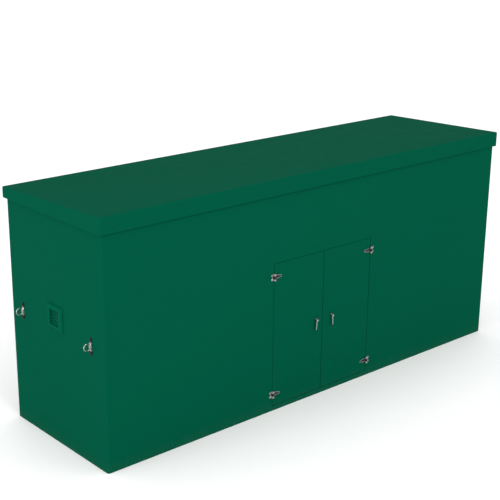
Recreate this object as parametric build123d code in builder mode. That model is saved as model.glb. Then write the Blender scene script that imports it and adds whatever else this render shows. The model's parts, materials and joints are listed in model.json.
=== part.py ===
from build123d import *
from math import cos, radians, sin
import os

os.makedirs("parts", exist_ok=True)

# Insulated enclosure for a reduced-pressure backflow preventer, with the valve train inside it.
# Millimetres. X runs along the enclosure, the doors face -Y, +Z is up, z = 0 is the slab.
# The origin is the centre of the walls' footprint. Water flows towards +X.

# ---- driving dimensions: walls and roof ----
body_length = 3564.0  # outside of the walls along X
body_width = 1040.0  # outside of the walls along Y
eaves_height = 1504.0  # underside of the fascia
wall_top = 1545.0  # the walls run on up inside the roof cap
corner_radius = 15.0
skin = 5.0
board = 42.0
liner = 3.0
seal = 5.0
roof_overhang_end = 21.0
roof_overhang_side = 16.0
fascia_front = 105.0
roof_fall = 36.0
roof_skin = 6.0
roof_edge_radius = 8.0
roof_corner_radius = 14.0
roof_gap = 0.5
gasket = 3.0
board_gap = 0.5
overrun = 1.0  # how far a cut runs past the face it opens

# ---- driving dimensions: base angle ----
angle_leg = 60.0
angle_upstand = 25.0
angle_thickness = 6.0
anchor_hole_radius = 7.0
anchor_x = (560.0, 1600.0)
anchor_inset = 33.0

# ---- driving dimensions: doorway and doors ----
doorway_half = 457.0
doorway_bottom = 34.0
doorway_top = 1045.0
frame_web = 6.0
frame_lip = 20.0
frame_flange = 26.0
lip_thickness = 5.0
frame_joint = 0.2
door_gap = 4.0
door_thickness = 44.0
door_bevel = 4.0
door_skin = 4.0
door_liner = 3.0
door_edge_radius = 1.5
seal_width = 12.0
seal_thickness = 5.7
seal_inset = 1.0

# ---- driving dimensions: hinges ----
hinge_levels = (122.0, 954.0)
hinge_axis_x = 455.0
hinge_standoff = 9.0
knuckle_radius = 8.5
hinge_height = 46.0
middle_knuckle = 22.4
knuckle_clearance = 0.3
hinge_pin_radius = 3.0
hinge_plate = 3.5
leaf_reach = 28.0
leaf_arm = 12.0
leaf_notch = 19.0
leaf_foot = 17.0
strap_root = 12.0
strap_reach = 64.0
strap_root_half = 14.5
strap_tip_half = 6.5
strap_corner = 5.0
pin_head_radius = 4.8
pin_head_height = 2.0

# ---- driving dimensions: handles and rod latches ----
handle_x = {"left": 66.0, "right": 82.0}
handle_z = 568.0
plate_width = 17.0
plate_up = 16.0
plate_down = 84.0
plate_thickness = 3.0
spindle_radius = 5.0
spindle_play = 1.0
handle_reach = 30.0
grip_length = 72.0
grip_standoff = 17.0
grip_lean = 6.0  # the grip's end hangs this far towards the hinges
disc_radius = 24.0
disc_thickness = 6.0
crank_radius = 16.0
crank_pin_radius = 3.0
crank_angle = 45.0
rod_radius = 5.0
rod_offset = 14.0
rod_clearance = 0.5
rod_start_play = 1.0
guide_cover = 8.0  # from the rod's axis to the guide's back
disc_gap = 1.5
slot_plate = (5.5, 22.5)  # from the spindle's axis
slot_opening = (7.5, 19.8)
slot_plate_half = 8.8
slot_half = 3.8
guide_half = 12.0
neck_radius = 6.0
neck_straight = 3.5  # from the plate to the bend
knob_radius = 7.5
knob_drop = 6.0
grip_top_radius = 5.0
grip_end_radius = 4.0
grip_thickness = 6.0
rod_top = 1015.0
rod_bottom = 64.0
guide_levels = (200.0, 440.0, 720.0, 930.0)
running = 0.05

# ---- driving dimensions: vents and eye plates ----
vent_width = 167.0
vent_height = 156.0
vent_depth = 14.0
vent_bevel = 9.0
vent_hole_width = 97.0
vent_hole_height = 101.0
vent_z = 853.0
sleeve_outer = 112.0
sleeve_wall = 4.0
louvre_count = 5
louvre_depth = 20.0
louvre_thickness = 3.0
louvre_tilt = 40.0
louvre_tenon = 1.0
eye_y = 382.0
eye_z = 785.0
eye_plate_height = 112.0
eye_plate_width = 23.0
eye_plate_thickness = 4.0
eye_radius = 22.5
eye_wire = 3.5
eye_centre = 28.5

# ---- driving dimensions: the 8 inch pipe and its flanges ----
pipe_z = 480.0
bore_radius = 102.0
pipe_radius = 109.5
flange_radius = 171.5
flange_thickness = 28.6
bolt_circle = 149.25
bolt_count = 8
bolt_hole_radius = 11.1
foot_hole_radius = 11.5
bolt_radius = 10.0
elbow_reach = 229.0
elbow_straight = 40.0
elbow_radius = 114.0

# ---- driving dimensions: check valve body ----
check_half = 700.0
barrel_radius = 116.0
chamber_x = 300.0
chamber_radius = 165.0
chamber_bore = 150.0
chamber_bottom = 150.0
chamber_top = 190.0
cover_radius = 205.0
cover_flange = 25.0
cover_bolt_circle = 185.0
cover_bolt_count = 12
cover_bolt_radius = 8.0
cover_hole_radius = 8.75
seat_face = -106.0  # from the chamber's centre
seat_radius = 108.0
seat_bore = 84.0
clapper_radius = 95.0
clapper_thickness = 12.0
clapper_pivot_x = -100.0
clapper_pivot_z = 126.0

chamber_wall = 15.0
chamber_floor_radius = 25.0
seat_depth = 15.0
ear_span = (-118.0, -88.0)  # from the chamber's centre
ear_y = (18.0, 28.0)
ear_z = (104.0, 140.0)  # above the pipe's axis
shaft_radius = 6.0
hub_half = 17.0
clapper_hub_radius = 13.0
clapper_rib = 9.0
cover_dome = 30.0
cover_dome_radius = 120.0

# ---- driving dimensions: gate valves ----
gate_shell_half = 45.0
bonnet_half_x = 80.0
bonnet_half_y = 150.0
bonnet_bolt_x = 62.0
bonnet_bolt_pitch = 80.0
bonnet_bolt_rows = 4
bonnet_edge_radius = 12.0
bonnet_roof = 15.0
gland_foot = 385.0
gland_radius = 38.0
gland_half_x = 25.0
gland_half_y = 55.0
yoke_half_x = 12.0
yoke_arm_half = 10.0
yoke_head_half = 36.0
stem_socket = 25.0
socket_radius = 16.2
collar_radius = 32.0
collar_height = 12.0
hub_radius = 34.0
hub_rise = 16.0
spoke_count = 5
spoke_radius = 8.0
gate_length = 292.0
gate_barrel = 120.0
gate_chamber = 128.0
gate_cavity = 112.0
gate_cavity_half = 30.0
wedge_radius = 108.0
wedge_half = 29.5
bonnet_flange_z = 170.0
bonnet_flange_thickness = 22.0
bonnet_top = 350.0
gland_top = 397.0
yoke_low = 600.0
yoke_high = 630.0
yoke_arm_y = 72.0
stem_radius = 16.0
stem_chamfer = 3.0
stem_top = 890.0
stem_travel = 217.0
sleeve_radius = 26.0
wheel_radius = 165.0
wheel_rim = 11.0
wheel_z = 650.0
stem_clearance = 0.08

# ---- driving dimensions: relief valve, test cocks, stands ----
relief_y = -283.0
relief_radius = 62.0
relief_flange = 98.0
branch_flange = 75.0
branch_radius = 48.0
branch_bore = 36.0
branch_face = -165.0
relief_cavity = 50.0
relief_seat = 30.0
relief_bottom = 170.0
relief_lift = 12.0
cock_face = -140.0
cock_x = (-930.0, -520.0, 110.0, 520.0)
cock_lever = 50.0
cock_boss_radius = 16.0
cock_thread_radius = 9.0
cock_body_radius = 14.0
cock_length = 60.0
cock_stem_y = -166.0
cock_stem_foot = 8.0  # above the cock's axis
cock_stem_top = 20.0
cock_stem_radius = 4.0
cock_bore = 4.0
cock_thread = 28.0
cock_hexagon = 12.0
cock_nozzle = 18.0
cock_neck_radius = 8.0
lever_width = 12.0
lever_tail = 6.0  # past the stem's axis
lever_thickness = 3.0
relief_shoulder = 56.0
relief_floor = 62.0
relief_web = 16.0
relief_dome = 28.0
relief_nipple = 15.0
relief_roof = 10.0
branch_plate = 14.0
plunger_radius = 38.0
plunger_disc = 10.0
plunger_stem = 8.0
plunger_tip = 20.0
plunger_plate = 6.0
plunger_drop = 10.0
spring_plate = 48.0
spring_radius = 45.0
spring_wire = 2.5
spring_gap = 0.1
spring_turns = 5
sense_boss_radius = 12.0
sense_rise = 60.0
sense_bend = 35.0
sense_x = -600.0
sense_tube = 5.0
sense_bore = 4.0
sense_socket = 8.0
sense_end = 12.0
stand_x = 560.0
foot_half = 80.0
foot_thickness = 8.0
stand_tube_radius = 26.0
stand_tube_top = 190.0
stand_screw_radius = 12.0
stand_screw_low = 120.0
saddle_low = 300.0
saddle_high = 405.0
saddle_half_x = 30.0
saddle_half_y = 88.0
hexagon_ratio = 1.7
nut_ratio = 1.6
bolt_end = 0.5  # how far both ends stand out, in radii

# ---- derived values ----
half_length = body_length / 2
half_width = body_width / 2
inner_half_length = half_length - skin - board - liner
inner_half_width = half_width - skin - board - liner
front = -half_width
liner_face = -inner_half_width
door_low = doorway_bottom + door_gap
door_high = doorway_top - door_gap
door_outer = doorway_half - door_gap
door_inner = door_gap / 2
door_back = front + door_thickness
axis_y = front - hinge_standoff
roof_top_front = eaves_height + fascia_front
vent_sleeve = sleeve_outer / 2
gate_x = check_half + gasket + gate_length / 2
elbow_face = check_half + 2 * gasket + gate_length
riser_x = elbow_face + elbow_reach
riser_top = pipe_z - elbow_reach - gasket
rod_y = liner_face + lip_thickness + rod_clearance + rod_radius
spindle_hole = spindle_radius + spindle_play
disc_back = rod_y - rod_radius - disc_gap
crank_pin = crank_radius * sin(radians(crank_angle))
sides = {"left": -1, "right": 1}


def block(x_span, y_span, z_span, mode=Mode.ADD):
    """A box between two limits on each axis."""
    spans = [sorted(span) for span in (x_span, y_span, z_span)]
    centre = tuple((low + high) / 2 for low, high in spans)
    with Locations(centre):
        Box(*[high - low for low, high in spans], mode=mode)


def bar(start, end, radius, mode=Mode.ADD):
    """A round bar from start to end."""
    axis = Vector(*end) - Vector(*start)
    with Locations(Plane(origin=start, z_dir=axis).location):
        Cylinder(radius, axis.length, align=(Align.CENTER, Align.CENTER, Align.MIN), mode=mode)


def finish(piece, label):
    """Name a finished piece and write it."""
    piece.part.label = label
    export_step(piece.part, f"parts/{label}.step")


def cut_vent_holes(half):
    """The square vent holes through whatever stands at the two ends."""
    across = (-half, half)
    block((-body_length, body_length), across, (vent_z - half, vent_z + half), Mode.SUBTRACT)


# ================= walls =================
with BuildPart() as outer_shell:
    with BuildSketch():
        RectangleRounded(body_length, body_width, corner_radius)
        RectangleRounded(
            body_length - 2 * skin, body_width - 2 * skin, corner_radius - skin, mode=Mode.SUBTRACT
        )
    extrude(amount=wall_top)
    block(
        (-doorway_half, doorway_half), (front - overrun, liner_face),
        (doorway_bottom, doorway_top), Mode.SUBTRACT,
    )
    cut_vent_holes(vent_sleeve)
finish(outer_shell, "outer_shell")

frame_outer = doorway_half + frame_web
frame_low = doorway_bottom - frame_web
frame_high = doorway_top + frame_web
board_front = front + skin
board_back = board_front + board

with BuildPart() as wall_insulation:
    board_ends = (-half_length + skin, half_length - skin)
    for side in (-1, 1):
        block(board_ends, (side * board_front, side * board_back), (seal, wall_top))
    uprights = wall_insulation.edges().filter_by(Axis.Z).group_by(Axis.Y)
    fillet(uprights[0] + uprights[-1], corner_radius - skin)
    end_half = -board_back - board_gap
    for side in (-1, 1):
        end_faces = (side * (half_length - skin), side * (half_length - skin - board))
        block(end_faces, (-end_half, end_half), (seal, wall_top))
    block(
        (-frame_outer, frame_outer), (front, liner_face), (frame_low, frame_high), Mode.SUBTRACT
    )
    cut_vent_holes(vent_sleeve)
finish(wall_insulation, "wall_insulation")

with BuildPart() as inner_liner:
    with BuildSketch(Plane.XY.offset(seal)):
        Rectangle(2 * (inner_half_length + liner), 2 * (inner_half_width + liner))
        Rectangle(2 * inner_half_length, 2 * inner_half_width, mode=Mode.SUBTRACT)
    extrude(amount=wall_top - seal)
    block(
        (-frame_outer, frame_outer), (front, liner_face + overrun), (frame_low, frame_high),
        Mode.SUBTRACT,
    )
    cut_vent_holes(vent_sleeve)
finish(inner_liner, "inner_liner")

# One soft strip lies under the walls and one on top of them, under the roof.
with BuildPart() as wall_seals:
    for level, thickness in ((0, seal), (wall_top, gasket)):
        with BuildSketch(Plane.XY.offset(level)):
            RectangleRounded(body_length - 2 * skin, body_width - 2 * skin, corner_radius - skin)
            Rectangle(2 * inner_half_length, 2 * inner_half_width, mode=Mode.SUBTRACT)
        extrude(amount=thickness)
finish(wall_seals, "wall_seals")

# An angle ring stands inside the walls, its flat leg on the slab and drilled for the anchors.
with BuildPart() as base_frame:
    with BuildSketch():
        Rectangle(2 * inner_half_length, 2 * inner_half_width)
        Rectangle(
            2 * (inner_half_length - angle_leg), 2 * (inner_half_width - angle_leg),
            mode=Mode.SUBTRACT,
        )
    extrude(amount=angle_thickness)
    with BuildSketch():
        Rectangle(2 * inner_half_length, 2 * inner_half_width)
        Rectangle(
            2 * (inner_half_length - angle_thickness), 2 * (inner_half_width - angle_thickness),
            mode=Mode.SUBTRACT,
        )
    extrude(amount=angle_upstand)
    for x in anchor_x:
        with GridLocations(2 * x, 2 * (inner_half_width - anchor_inset), 2, 2):
            Cylinder(anchor_hole_radius, 3 * angle_thickness, mode=Mode.SUBTRACT)
finish(base_frame, "base_frame")


# ================= roof =================
def roof_height(y):
    """The height of the roof's top face, which falls towards the back."""
    roof_half = half_width + roof_overhang_side
    return roof_top_front - roof_fall * (y + roof_half) / (2 * roof_half)


with BuildPart() as roof_cap:
    roof_half = half_width + roof_overhang_side
    with BuildSketch(Plane.YZ):
        with BuildLine():
            Polyline(
                (-roof_half, eaves_height),
                (-roof_half, roof_height(-roof_half)),
                (roof_half, roof_height(roof_half)),
                (roof_half, eaves_height),
                close=True,
            )
        make_face()
    extrude(amount=half_length + roof_overhang_end, both=True)
    fillet(roof_cap.edges().filter_by(Axis.Z), roof_corner_radius)
    fillet(roof_cap.faces().sort_by(Axis.Z)[-1].edges(), roof_edge_radius)
    pocket_half = half_width + roof_gap
    with BuildSketch(Plane.YZ):
        with BuildLine():
            Polyline(
                (-pocket_half, eaves_height),
                (-pocket_half, roof_height(-pocket_half) - roof_skin),
                (pocket_half, roof_height(pocket_half) - roof_skin),
                (pocket_half, eaves_height),
                close=True,
            )
        make_face()
    extrude(amount=half_length + roof_gap, both=True, mode=Mode.SUBTRACT)
finish(roof_cap, "roof_cap")

with BuildPart() as roof_insulation:
    board_base = wall_top + gasket
    with BuildSketch(Plane.YZ):
        with BuildLine():
            Polyline(
                (-half_width, board_base),
                (-half_width, roof_height(-half_width) - roof_skin),
                (half_width, roof_height(half_width) - roof_skin),
                (half_width, board_base),
                close=True,
            )
        make_face()
    extrude(amount=half_length, both=True)
finish(roof_insulation, "roof_insulation")

with BuildPart() as ceiling_liner:
    block(
        (-inner_half_length, inner_half_length), (-inner_half_width, inner_half_width),
        (wall_top, wall_top + gasket),
    )
finish(ceiling_liner, "ceiling_liner")

# ================= door frame =================
# Two jambs, a head and a sill, each a web round the doorway with a lip for the door's seal.
clear_half = doorway_half - frame_lip
clear_low = doorway_bottom + frame_lip
clear_high = doorway_top - frame_lip
lip_face = liner_face + lip_thickness
jamb_out = doorway_half + frame_flange

with BuildPart() as door_frame:
    for side in (-1, 1):
        web = (side * doorway_half, side * frame_outer)
        lip = (side * clear_half, side * jamb_out)
        block(web, (board_front, liner_face), (frame_low, frame_high))
        block(lip, (liner_face, lip_face), (frame_low, doorway_top + frame_flange))
    inner_web = doorway_half - frame_joint
    inner_lip = clear_half - frame_joint
    web_back = liner_face - frame_joint
    for web_span, lip_span in (
        ((doorway_top, frame_high), (clear_high, frame_high)),
        ((frame_low, doorway_bottom), (frame_low, clear_low)),
    ):
        block((-inner_web, inner_web), (board_front, web_back), web_span)
        block((-inner_lip, inner_lip), (web_back, lip_face), lip_span)
    head_flange = (frame_high, doorway_top + frame_flange)
    block((-inner_lip, inner_lip), (liner_face, lip_face), head_flange)
finish(door_frame, "door_frame")


# ================= doors =================
def door_outline(side):
    """The corners of a leaf seen from above; its meeting edge is bevelled to swing clear."""
    return [
        (side * door_inner, front),
        (side * door_outer, front),
        (side * door_outer, door_back),
        (side * (door_inner + door_bevel), door_back),
    ]


def hinge_places(side):
    """The hinge axes of one door, at the middle of each hinge."""
    return [(side * hinge_axis_x, axis_y, level) for level in hinge_levels]


for name, side in sides.items():
    hub = side * handle_x[name]
    panel = (side * (door_inner + door_bevel + door_skin), side * (door_outer - door_skin))
    panel_levels = (door_low + door_skin, door_high - door_skin)

    with BuildPart() as leaf_skin:
        with BuildSketch(Plane.XY.offset(door_low)):
            with BuildLine():
                Polyline(*door_outline(side), close=True)
            make_face()
        extrude(amount=door_high - door_low)
        face_edges = leaf_skin.faces().sort_by(Axis.Y)[0].edges()
        fillet(face_edges, door_edge_radius)
        block(panel, (front + door_skin, door_back), panel_levels, Mode.SUBTRACT)
        bar((hub, front, handle_z), (hub, door_back, handle_z), spindle_radius, Mode.SUBTRACT)
    finish(leaf_skin, f"{name}_door_skin")

    with BuildPart() as leaf_board:
        block(panel, (front + door_skin, door_back - door_liner), panel_levels)
        bar((hub, front, handle_z), (hub, door_back, handle_z), spindle_hole, Mode.SUBTRACT)
    finish(leaf_board, f"{name}_door_insulation")

    with BuildPart() as leaf_liner:
        block(panel, (door_back - door_liner, door_back), panel_levels)
        bar((hub, front, handle_z), (hub, door_back, handle_z), spindle_hole, Mode.SUBTRACT)
    finish(leaf_liner, f"{name}_door_liner")

    with BuildPart() as leaf_seal:
        seal_y = (door_back, door_back + seal_thickness)
        outer = door_outer - seal_inset
        inner = outer - seal_width
        meeting = door_inner + door_bevel + seal_inset
        block((side * meeting, side * outer), seal_y, (door_low + seal_inset, door_high - seal_inset))
        block(
            (0, side * inner), seal_y,
            (door_low + seal_inset + seal_width, door_high - seal_inset - seal_width),
            Mode.SUBTRACT,
        )
    finish(leaf_seal, f"{name}_door_seal")

    # A strap lies on the door and tapers from its knuckle towards a blunt tip.
    with BuildPart() as straps:
        for x, y, level in hinge_places(side):
            root = x - side * strap_root
            tip = x - side * strap_reach
            with BuildSketch(Plane.XZ.offset(-front)) as strap_outline:
                with BuildLine():
                    Polyline(
                        (root, level - strap_root_half),
                        (tip, level - strap_tip_half),
                        (tip, level + strap_tip_half),
                        (root, level + strap_root_half),
                        close=True,
                    )
                make_face()
                fillet(strap_outline.vertices(), strap_corner)
            extrude(amount=hinge_plate)
            knuckle = (level - middle_knuckle / 2, level + middle_knuckle / 2)
            block((x, root - side * strap_tip_half), (front - hinge_plate, front), knuckle)
            bar((x, y, knuckle[0]), (x, y, knuckle[1]), knuckle_radius)
            bar(
                (x, y, knuckle[0]), (x, y, knuckle[1]), hinge_pin_radius + running, Mode.SUBTRACT
            )
    finish(straps, f"{name}_hinge_straps")

    # The lever handle turns in a long rounded plate on the door's face.
    plate_face = front - plate_thickness
    with BuildPart() as rose:
        with BuildSketch(Plane.XZ.offset(-front)):
            with Locations((hub, handle_z + (plate_up - plate_down) / 2)):
                SlotOverall(plate_up + plate_down, plate_width, rotation=90)
            with Locations((hub, handle_z)):
                Circle(spindle_radius + running, mode=Mode.SUBTRACT)
        extrude(amount=plate_thickness)
    finish(rose, f"{name}_handle_plate")

    # Its neck slopes down to the knob, and the grip hangs from there.
    with BuildPart() as handle:
        knob_y = front - handle_reach + knob_radius
        knob_z = handle_z - knob_drop
        neck_start = (hub, plate_face - rod_clearance, handle_z)
        neck_bend = (hub, plate_face - neck_straight, handle_z)
        grip_face = grip_standoff - front - grip_thickness / 2
        end_x = hub + side * grip_lean
        bar((hub, disc_back, handle_z), neck_start, spindle_radius)
        bar(neck_start, neck_bend, neck_radius)
        with Locations(neck_bend):
            Sphere(neck_radius)
        bar(neck_bend, (hub, knob_y, knob_z), neck_radius)
        with Locations((hub, knob_y, knob_z)):
            Sphere(knob_radius)
        with BuildSketch(Plane.XZ.offset(grip_face)):
            with BuildLine():
                Polyline(
                    (hub - grip_top_radius, knob_z),
                    (end_x - grip_end_radius, handle_z - grip_length),
                    (end_x + grip_end_radius, handle_z - grip_length),
                    (hub + grip_top_radius, knob_z),
                    close=True,
                )
            make_face()
            with Locations((end_x, handle_z - grip_length)):
                Circle(grip_end_radius)
        extrude(amount=grip_thickness)
    finish(handle, f"{name}_handle")

    # Two crank pins on the disc drive the rods, one up and one down.
    outward = {"upper": side, "lower": -side}
    upward = {"upper": 1, "lower": -1}
    with BuildPart() as disc:
        disc_front = disc_back - disc_thickness
        bar((hub, disc_front, handle_z), (hub, disc_back, handle_z), disc_radius)
        for rod, away in outward.items():
            pin_x = hub + away * crank_pin
            pin_z = handle_z - upward[rod] * crank_pin
            bar((pin_x, disc_front, pin_z), (pin_x, rod_y + rod_radius, pin_z), crank_pin_radius)
        bar(
            (hub, disc_front, handle_z), (hub, disc_back, handle_z), spindle_radius, Mode.SUBTRACT
        )
    finish(disc, f"{name}_latch_disc")

    for rod, away in outward.items():
        rod_x = hub + away * rod_offset
        pin_z = handle_z - upward[rod] * crank_pin
        rod_end = rod_top if rod == "upper" else rod_bottom
        plate_y = (rod_y - crank_pin_radius, rod_y + crank_pin_radius)
        with BuildPart() as latch_rod:
            plate_x = [hub + away * reach for reach in slot_plate]
            slot_x = [hub + away * reach for reach in slot_opening]
            block(plate_x, plate_y, (pin_z - slot_plate_half, pin_z + slot_plate_half))
            block(slot_x, plate_y, (pin_z - slot_half, pin_z + slot_half), Mode.SUBTRACT)
            rod_start = pin_z + upward[rod] * (slot_half + rod_start_play)
            bar((rod_x, rod_y, rod_start), (rod_x, rod_y, rod_end), rod_radius)
        finish(latch_rod, f"{name}_{rod}_rod")

    with BuildPart() as guides:
        for level in guide_levels:
            away = side if level > handle_z else -side
            rod_x = hub + away * rod_offset
            lows = (level - guide_half, level + guide_half)
            block((rod_x - guide_half, rod_x + guide_half), (door_back, rod_y + guide_cover), lows)
            bar(
                (rod_x, rod_y, lows[0]), (rod_x, rod_y, lows[1]), rod_radius + running,
                Mode.SUBTRACT,
            )
    finish(guides, f"{name}_rod_guides")

# ================= hinge leaves and pins on the wall =================
# A leaf forks away from the doorway and carries the outer two knuckles of its hinge.
with BuildPart() as hinge_leaves:
    for side in sides.values():
        for x, y, level in hinge_places(side):
            near = x + side * (knuckle_radius + 2 * knuckle_clearance)
            far = x + side * leaf_reach
            inner_half = middle_knuckle / 2 + knuckle_clearance
            outer_half = hinge_height / 2
            with BuildSketch(Plane.XZ.offset(-front)) as leaf_outline:
                with BuildLine():
                    Polyline(
                        (near, level - inner_half),
                        (far, level - outer_half),
                        (far, level - leaf_arm),
                        (x + side * leaf_notch, level),
                        (far, level + leaf_arm),
                        (far, level + outer_half),
                        (near, level + inner_half),
                        close=True,
                    )
                make_face()
            extrude(amount=hinge_plate)
            for up in (-1, 1):
                knuckle = (level + up * inner_half, level + up * outer_half)
                block((x, x + side * leaf_foot), (front - hinge_plate, front), knuckle)
                bar((x, y, knuckle[0]), (x, y, knuckle[1]), knuckle_radius)
                bar((x, y, knuckle[0]), (x, y, knuckle[1]), hinge_pin_radius, Mode.SUBTRACT)
finish(hinge_leaves, "hinge_leaves")

with BuildPart() as hinge_pins:
    for side in sides.values():
        for x, y, level in hinge_places(side):
            low = level - hinge_height / 2
            high = level + hinge_height / 2
            bar((x, y, low), (x, y, high), hinge_pin_radius)
            bar((x, y, high), (x, y, high + pin_head_height), pin_head_radius)
finish(hinge_pins, "hinge_pins")

# ================= vents and eye plates =================
with BuildPart() as end_vents:
    half_opening = vent_hole_width / 2
    vent_low = vent_z - vent_hole_height / 2
    vent_high = vent_z + vent_hole_height / 2
    for side in (-1, 1):
        wall_face = side * half_length
        vent_face = side * (half_length + vent_depth)
        block(
            (wall_face, vent_face), (-vent_width / 2, vent_width / 2),
            (vent_z - vent_height / 2, vent_z + vent_height / 2),
        )
        rim = end_vents.faces().sort_by(Axis.X)[0 if side < 0 else -1]
        chamfer(rim.edges(), vent_bevel)
        sleeve_y = (-vent_sleeve, vent_sleeve)
        sleeve_z = (vent_z - vent_sleeve, vent_z + vent_sleeve)
        block((wall_face, side * inner_half_length), sleeve_y, sleeve_z)
        bore = vent_sleeve - sleeve_wall
        block(
            (wall_face, side * inner_half_length), (-bore, bore), (vent_z - bore, vent_z + bore),
            Mode.SUBTRACT,
        )
        block(
            (wall_face, vent_face), (-half_opening, half_opening), (vent_low, vent_high),
            Mode.SUBTRACT,
        )
        spacing = vent_hole_height / louvre_count
        for number in range(louvre_count):
            blade_z = vent_low + spacing * (number + 0.5)
            with Locations(Location((wall_face, 0, blade_z), (0, side * louvre_tilt, 0))):
                Box(louvre_depth, vent_hole_width + 2 * louvre_tenon, louvre_thickness)
finish(end_vents, "end_vents")

with BuildPart() as eye_plates:
    for side in (-1, 1):
        wall_face = side * half_length
        plate_side = Plane(origin=(wall_face, 0, 0), x_dir=(0, side, 0), z_dir=(side, 0, 0))
        for y in (-eye_y, eye_y):
            with BuildSketch(plate_side):
                with Locations((side * y, eye_z)):
                    SlotOverall(eye_plate_height, eye_plate_width, rotation=90)
            extrude(amount=eye_plate_thickness)
            ring_x = side * (half_length + eye_centre)
            with Locations(Location((ring_x, y, eye_z), (90, 0, 0))):
                Torus(eye_radius, eye_wire)
finish(eye_plates, "eye_plates")


# ================= pipework =================
def polar_holes(centre, turn, circle, count, radius, depth, start=None):
    """Cut a ring of holes round centre, in the plane that turn tips XY into."""
    first = 180 / count if start is None else start
    with Locations(Location(centre, turn)):
        with PolarLocations(circle, count, start_angle=first):
            Cylinder(radius, depth, mode=Mode.SUBTRACT)


def pipe_flange(centre, turn, start=None, hole=bolt_hole_radius):
    """A drilled flange whose middle is at centre."""
    with Locations(Location(centre, turn)):
        Cylinder(flange_radius, flange_thickness)
    depth = 2 * flange_thickness
    polar_holes(centre, turn, bolt_circle, bolt_count, hole, depth, start)


along_x = (0, 90, 0)
upright = (0, 0, 0)
half_flange = flange_thickness / 2

with BuildPart() as pipe_risers:
    for side in (-1, 1):
        x = side * riser_x
        bar((x, 0, 0), (x, 0, riser_top), pipe_radius)
        # The foot's holes lie between those of the top, so that its bolts lift out past them.
        pipe_flange((x, 0, half_flange), upright, 0, foot_hole_radius)
        pipe_flange((x, 0, riser_top - half_flange), upright)
        bar((x, 0, 0), (x, 0, riser_top), bore_radius, Mode.SUBTRACT)
finish(pipe_risers, "pipe_risers")

with BuildPart() as pipe_elbows:
    bend = elbow_reach - elbow_straight
    for side in (-1, 1):
        x = side * riser_x
        for radius, mode in ((elbow_radius, Mode.ADD), (bore_radius, Mode.SUBTRACT)):
            bar((x, 0, riser_top + gasket), (x, 0, pipe_z - bend), radius, mode)
            bar((side * elbow_face, 0, pipe_z), (x - side * bend, 0, pipe_z), radius, mode)
            pivot = (x - side * bend, 0, pipe_z - bend)
            with BuildSketch(Plane(origin=pivot, x_dir=(side, 0, 0), z_dir=(0, 0, 1))):
                with Locations((bend, 0)):
                    Circle(radius)
            revolve(axis=Axis(pivot, (0, -side, 0)), revolution_arc=90, mode=mode)
            if mode == Mode.ADD:
                pipe_flange((x, 0, riser_top + gasket + half_flange), upright)
                pipe_flange((side * (elbow_face + half_flange), 0, pipe_z), along_x)
finish(pipe_elbows, "pipe_elbows")

# ================= gate valves =================
bonnet_foot = pipe_z + bonnet_flange_z + bonnet_flange_thickness
bonnet_seat = bonnet_foot + gasket


def bonnet_holes(x, level):
    """The bonnet's bolt holes, in two rows beside the neck."""
    with Locations((x, 0, level)):
        with GridLocations(2 * bonnet_bolt_x, bonnet_bolt_pitch, 2, bonnet_bolt_rows):
            Cylinder(cover_hole_radius, 3 * bonnet_flange_thickness, mode=Mode.SUBTRACT)


def gate_flange(x, low, high):
    """The rectangular flange that joins a valve body to its bonnet."""
    block((x - bonnet_half_x, x + bonnet_half_x), (-bonnet_half_y, bonnet_half_y), (low, high))


with BuildPart() as gate_bodies:
    for side in (-1, 1):
        x = side * gate_x
        ends = (x - gate_length / 2, x + gate_length / 2)
        bar((ends[0], 0, pipe_z), (ends[1], 0, pipe_z), gate_barrel)
        for end, inward in ((ends[0], 1), (ends[1], -1)):
            pipe_flange((end + inward * half_flange, 0, pipe_z), along_x)
        shell = (x - gate_shell_half, x + gate_shell_half)
        bar((shell[0], 0, pipe_z), (shell[1], 0, pipe_z), gate_chamber)
        block(shell, (-gate_chamber, gate_chamber), (pipe_z, bonnet_foot))
        gate_flange(x, pipe_z + bonnet_flange_z, bonnet_foot)
        if side < 0:
            bar(
                (cock_x[0], -bore_radius, pipe_z), (cock_x[0], cock_face, pipe_z),
                cock_boss_radius,
            )
        bar((ends[0], 0, pipe_z), (ends[1], 0, pipe_z), bore_radius, Mode.SUBTRACT)
        cavity = (x - gate_cavity_half, x + gate_cavity_half)
        bar((cavity[0], 0, pipe_z), (cavity[1], 0, pipe_z), gate_cavity, Mode.SUBTRACT)
        block(cavity, (-gate_cavity, gate_cavity), (pipe_z, bonnet_foot), Mode.SUBTRACT)
        bonnet_holes(x, bonnet_foot)
    cock_hole = ((cock_x[0], -gate_barrel / 2, pipe_z), (cock_x[0], cock_face, pipe_z))
    bar(*cock_hole, cock_thread_radius, Mode.SUBTRACT)
finish(gate_bodies, "gate_bodies")

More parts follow.
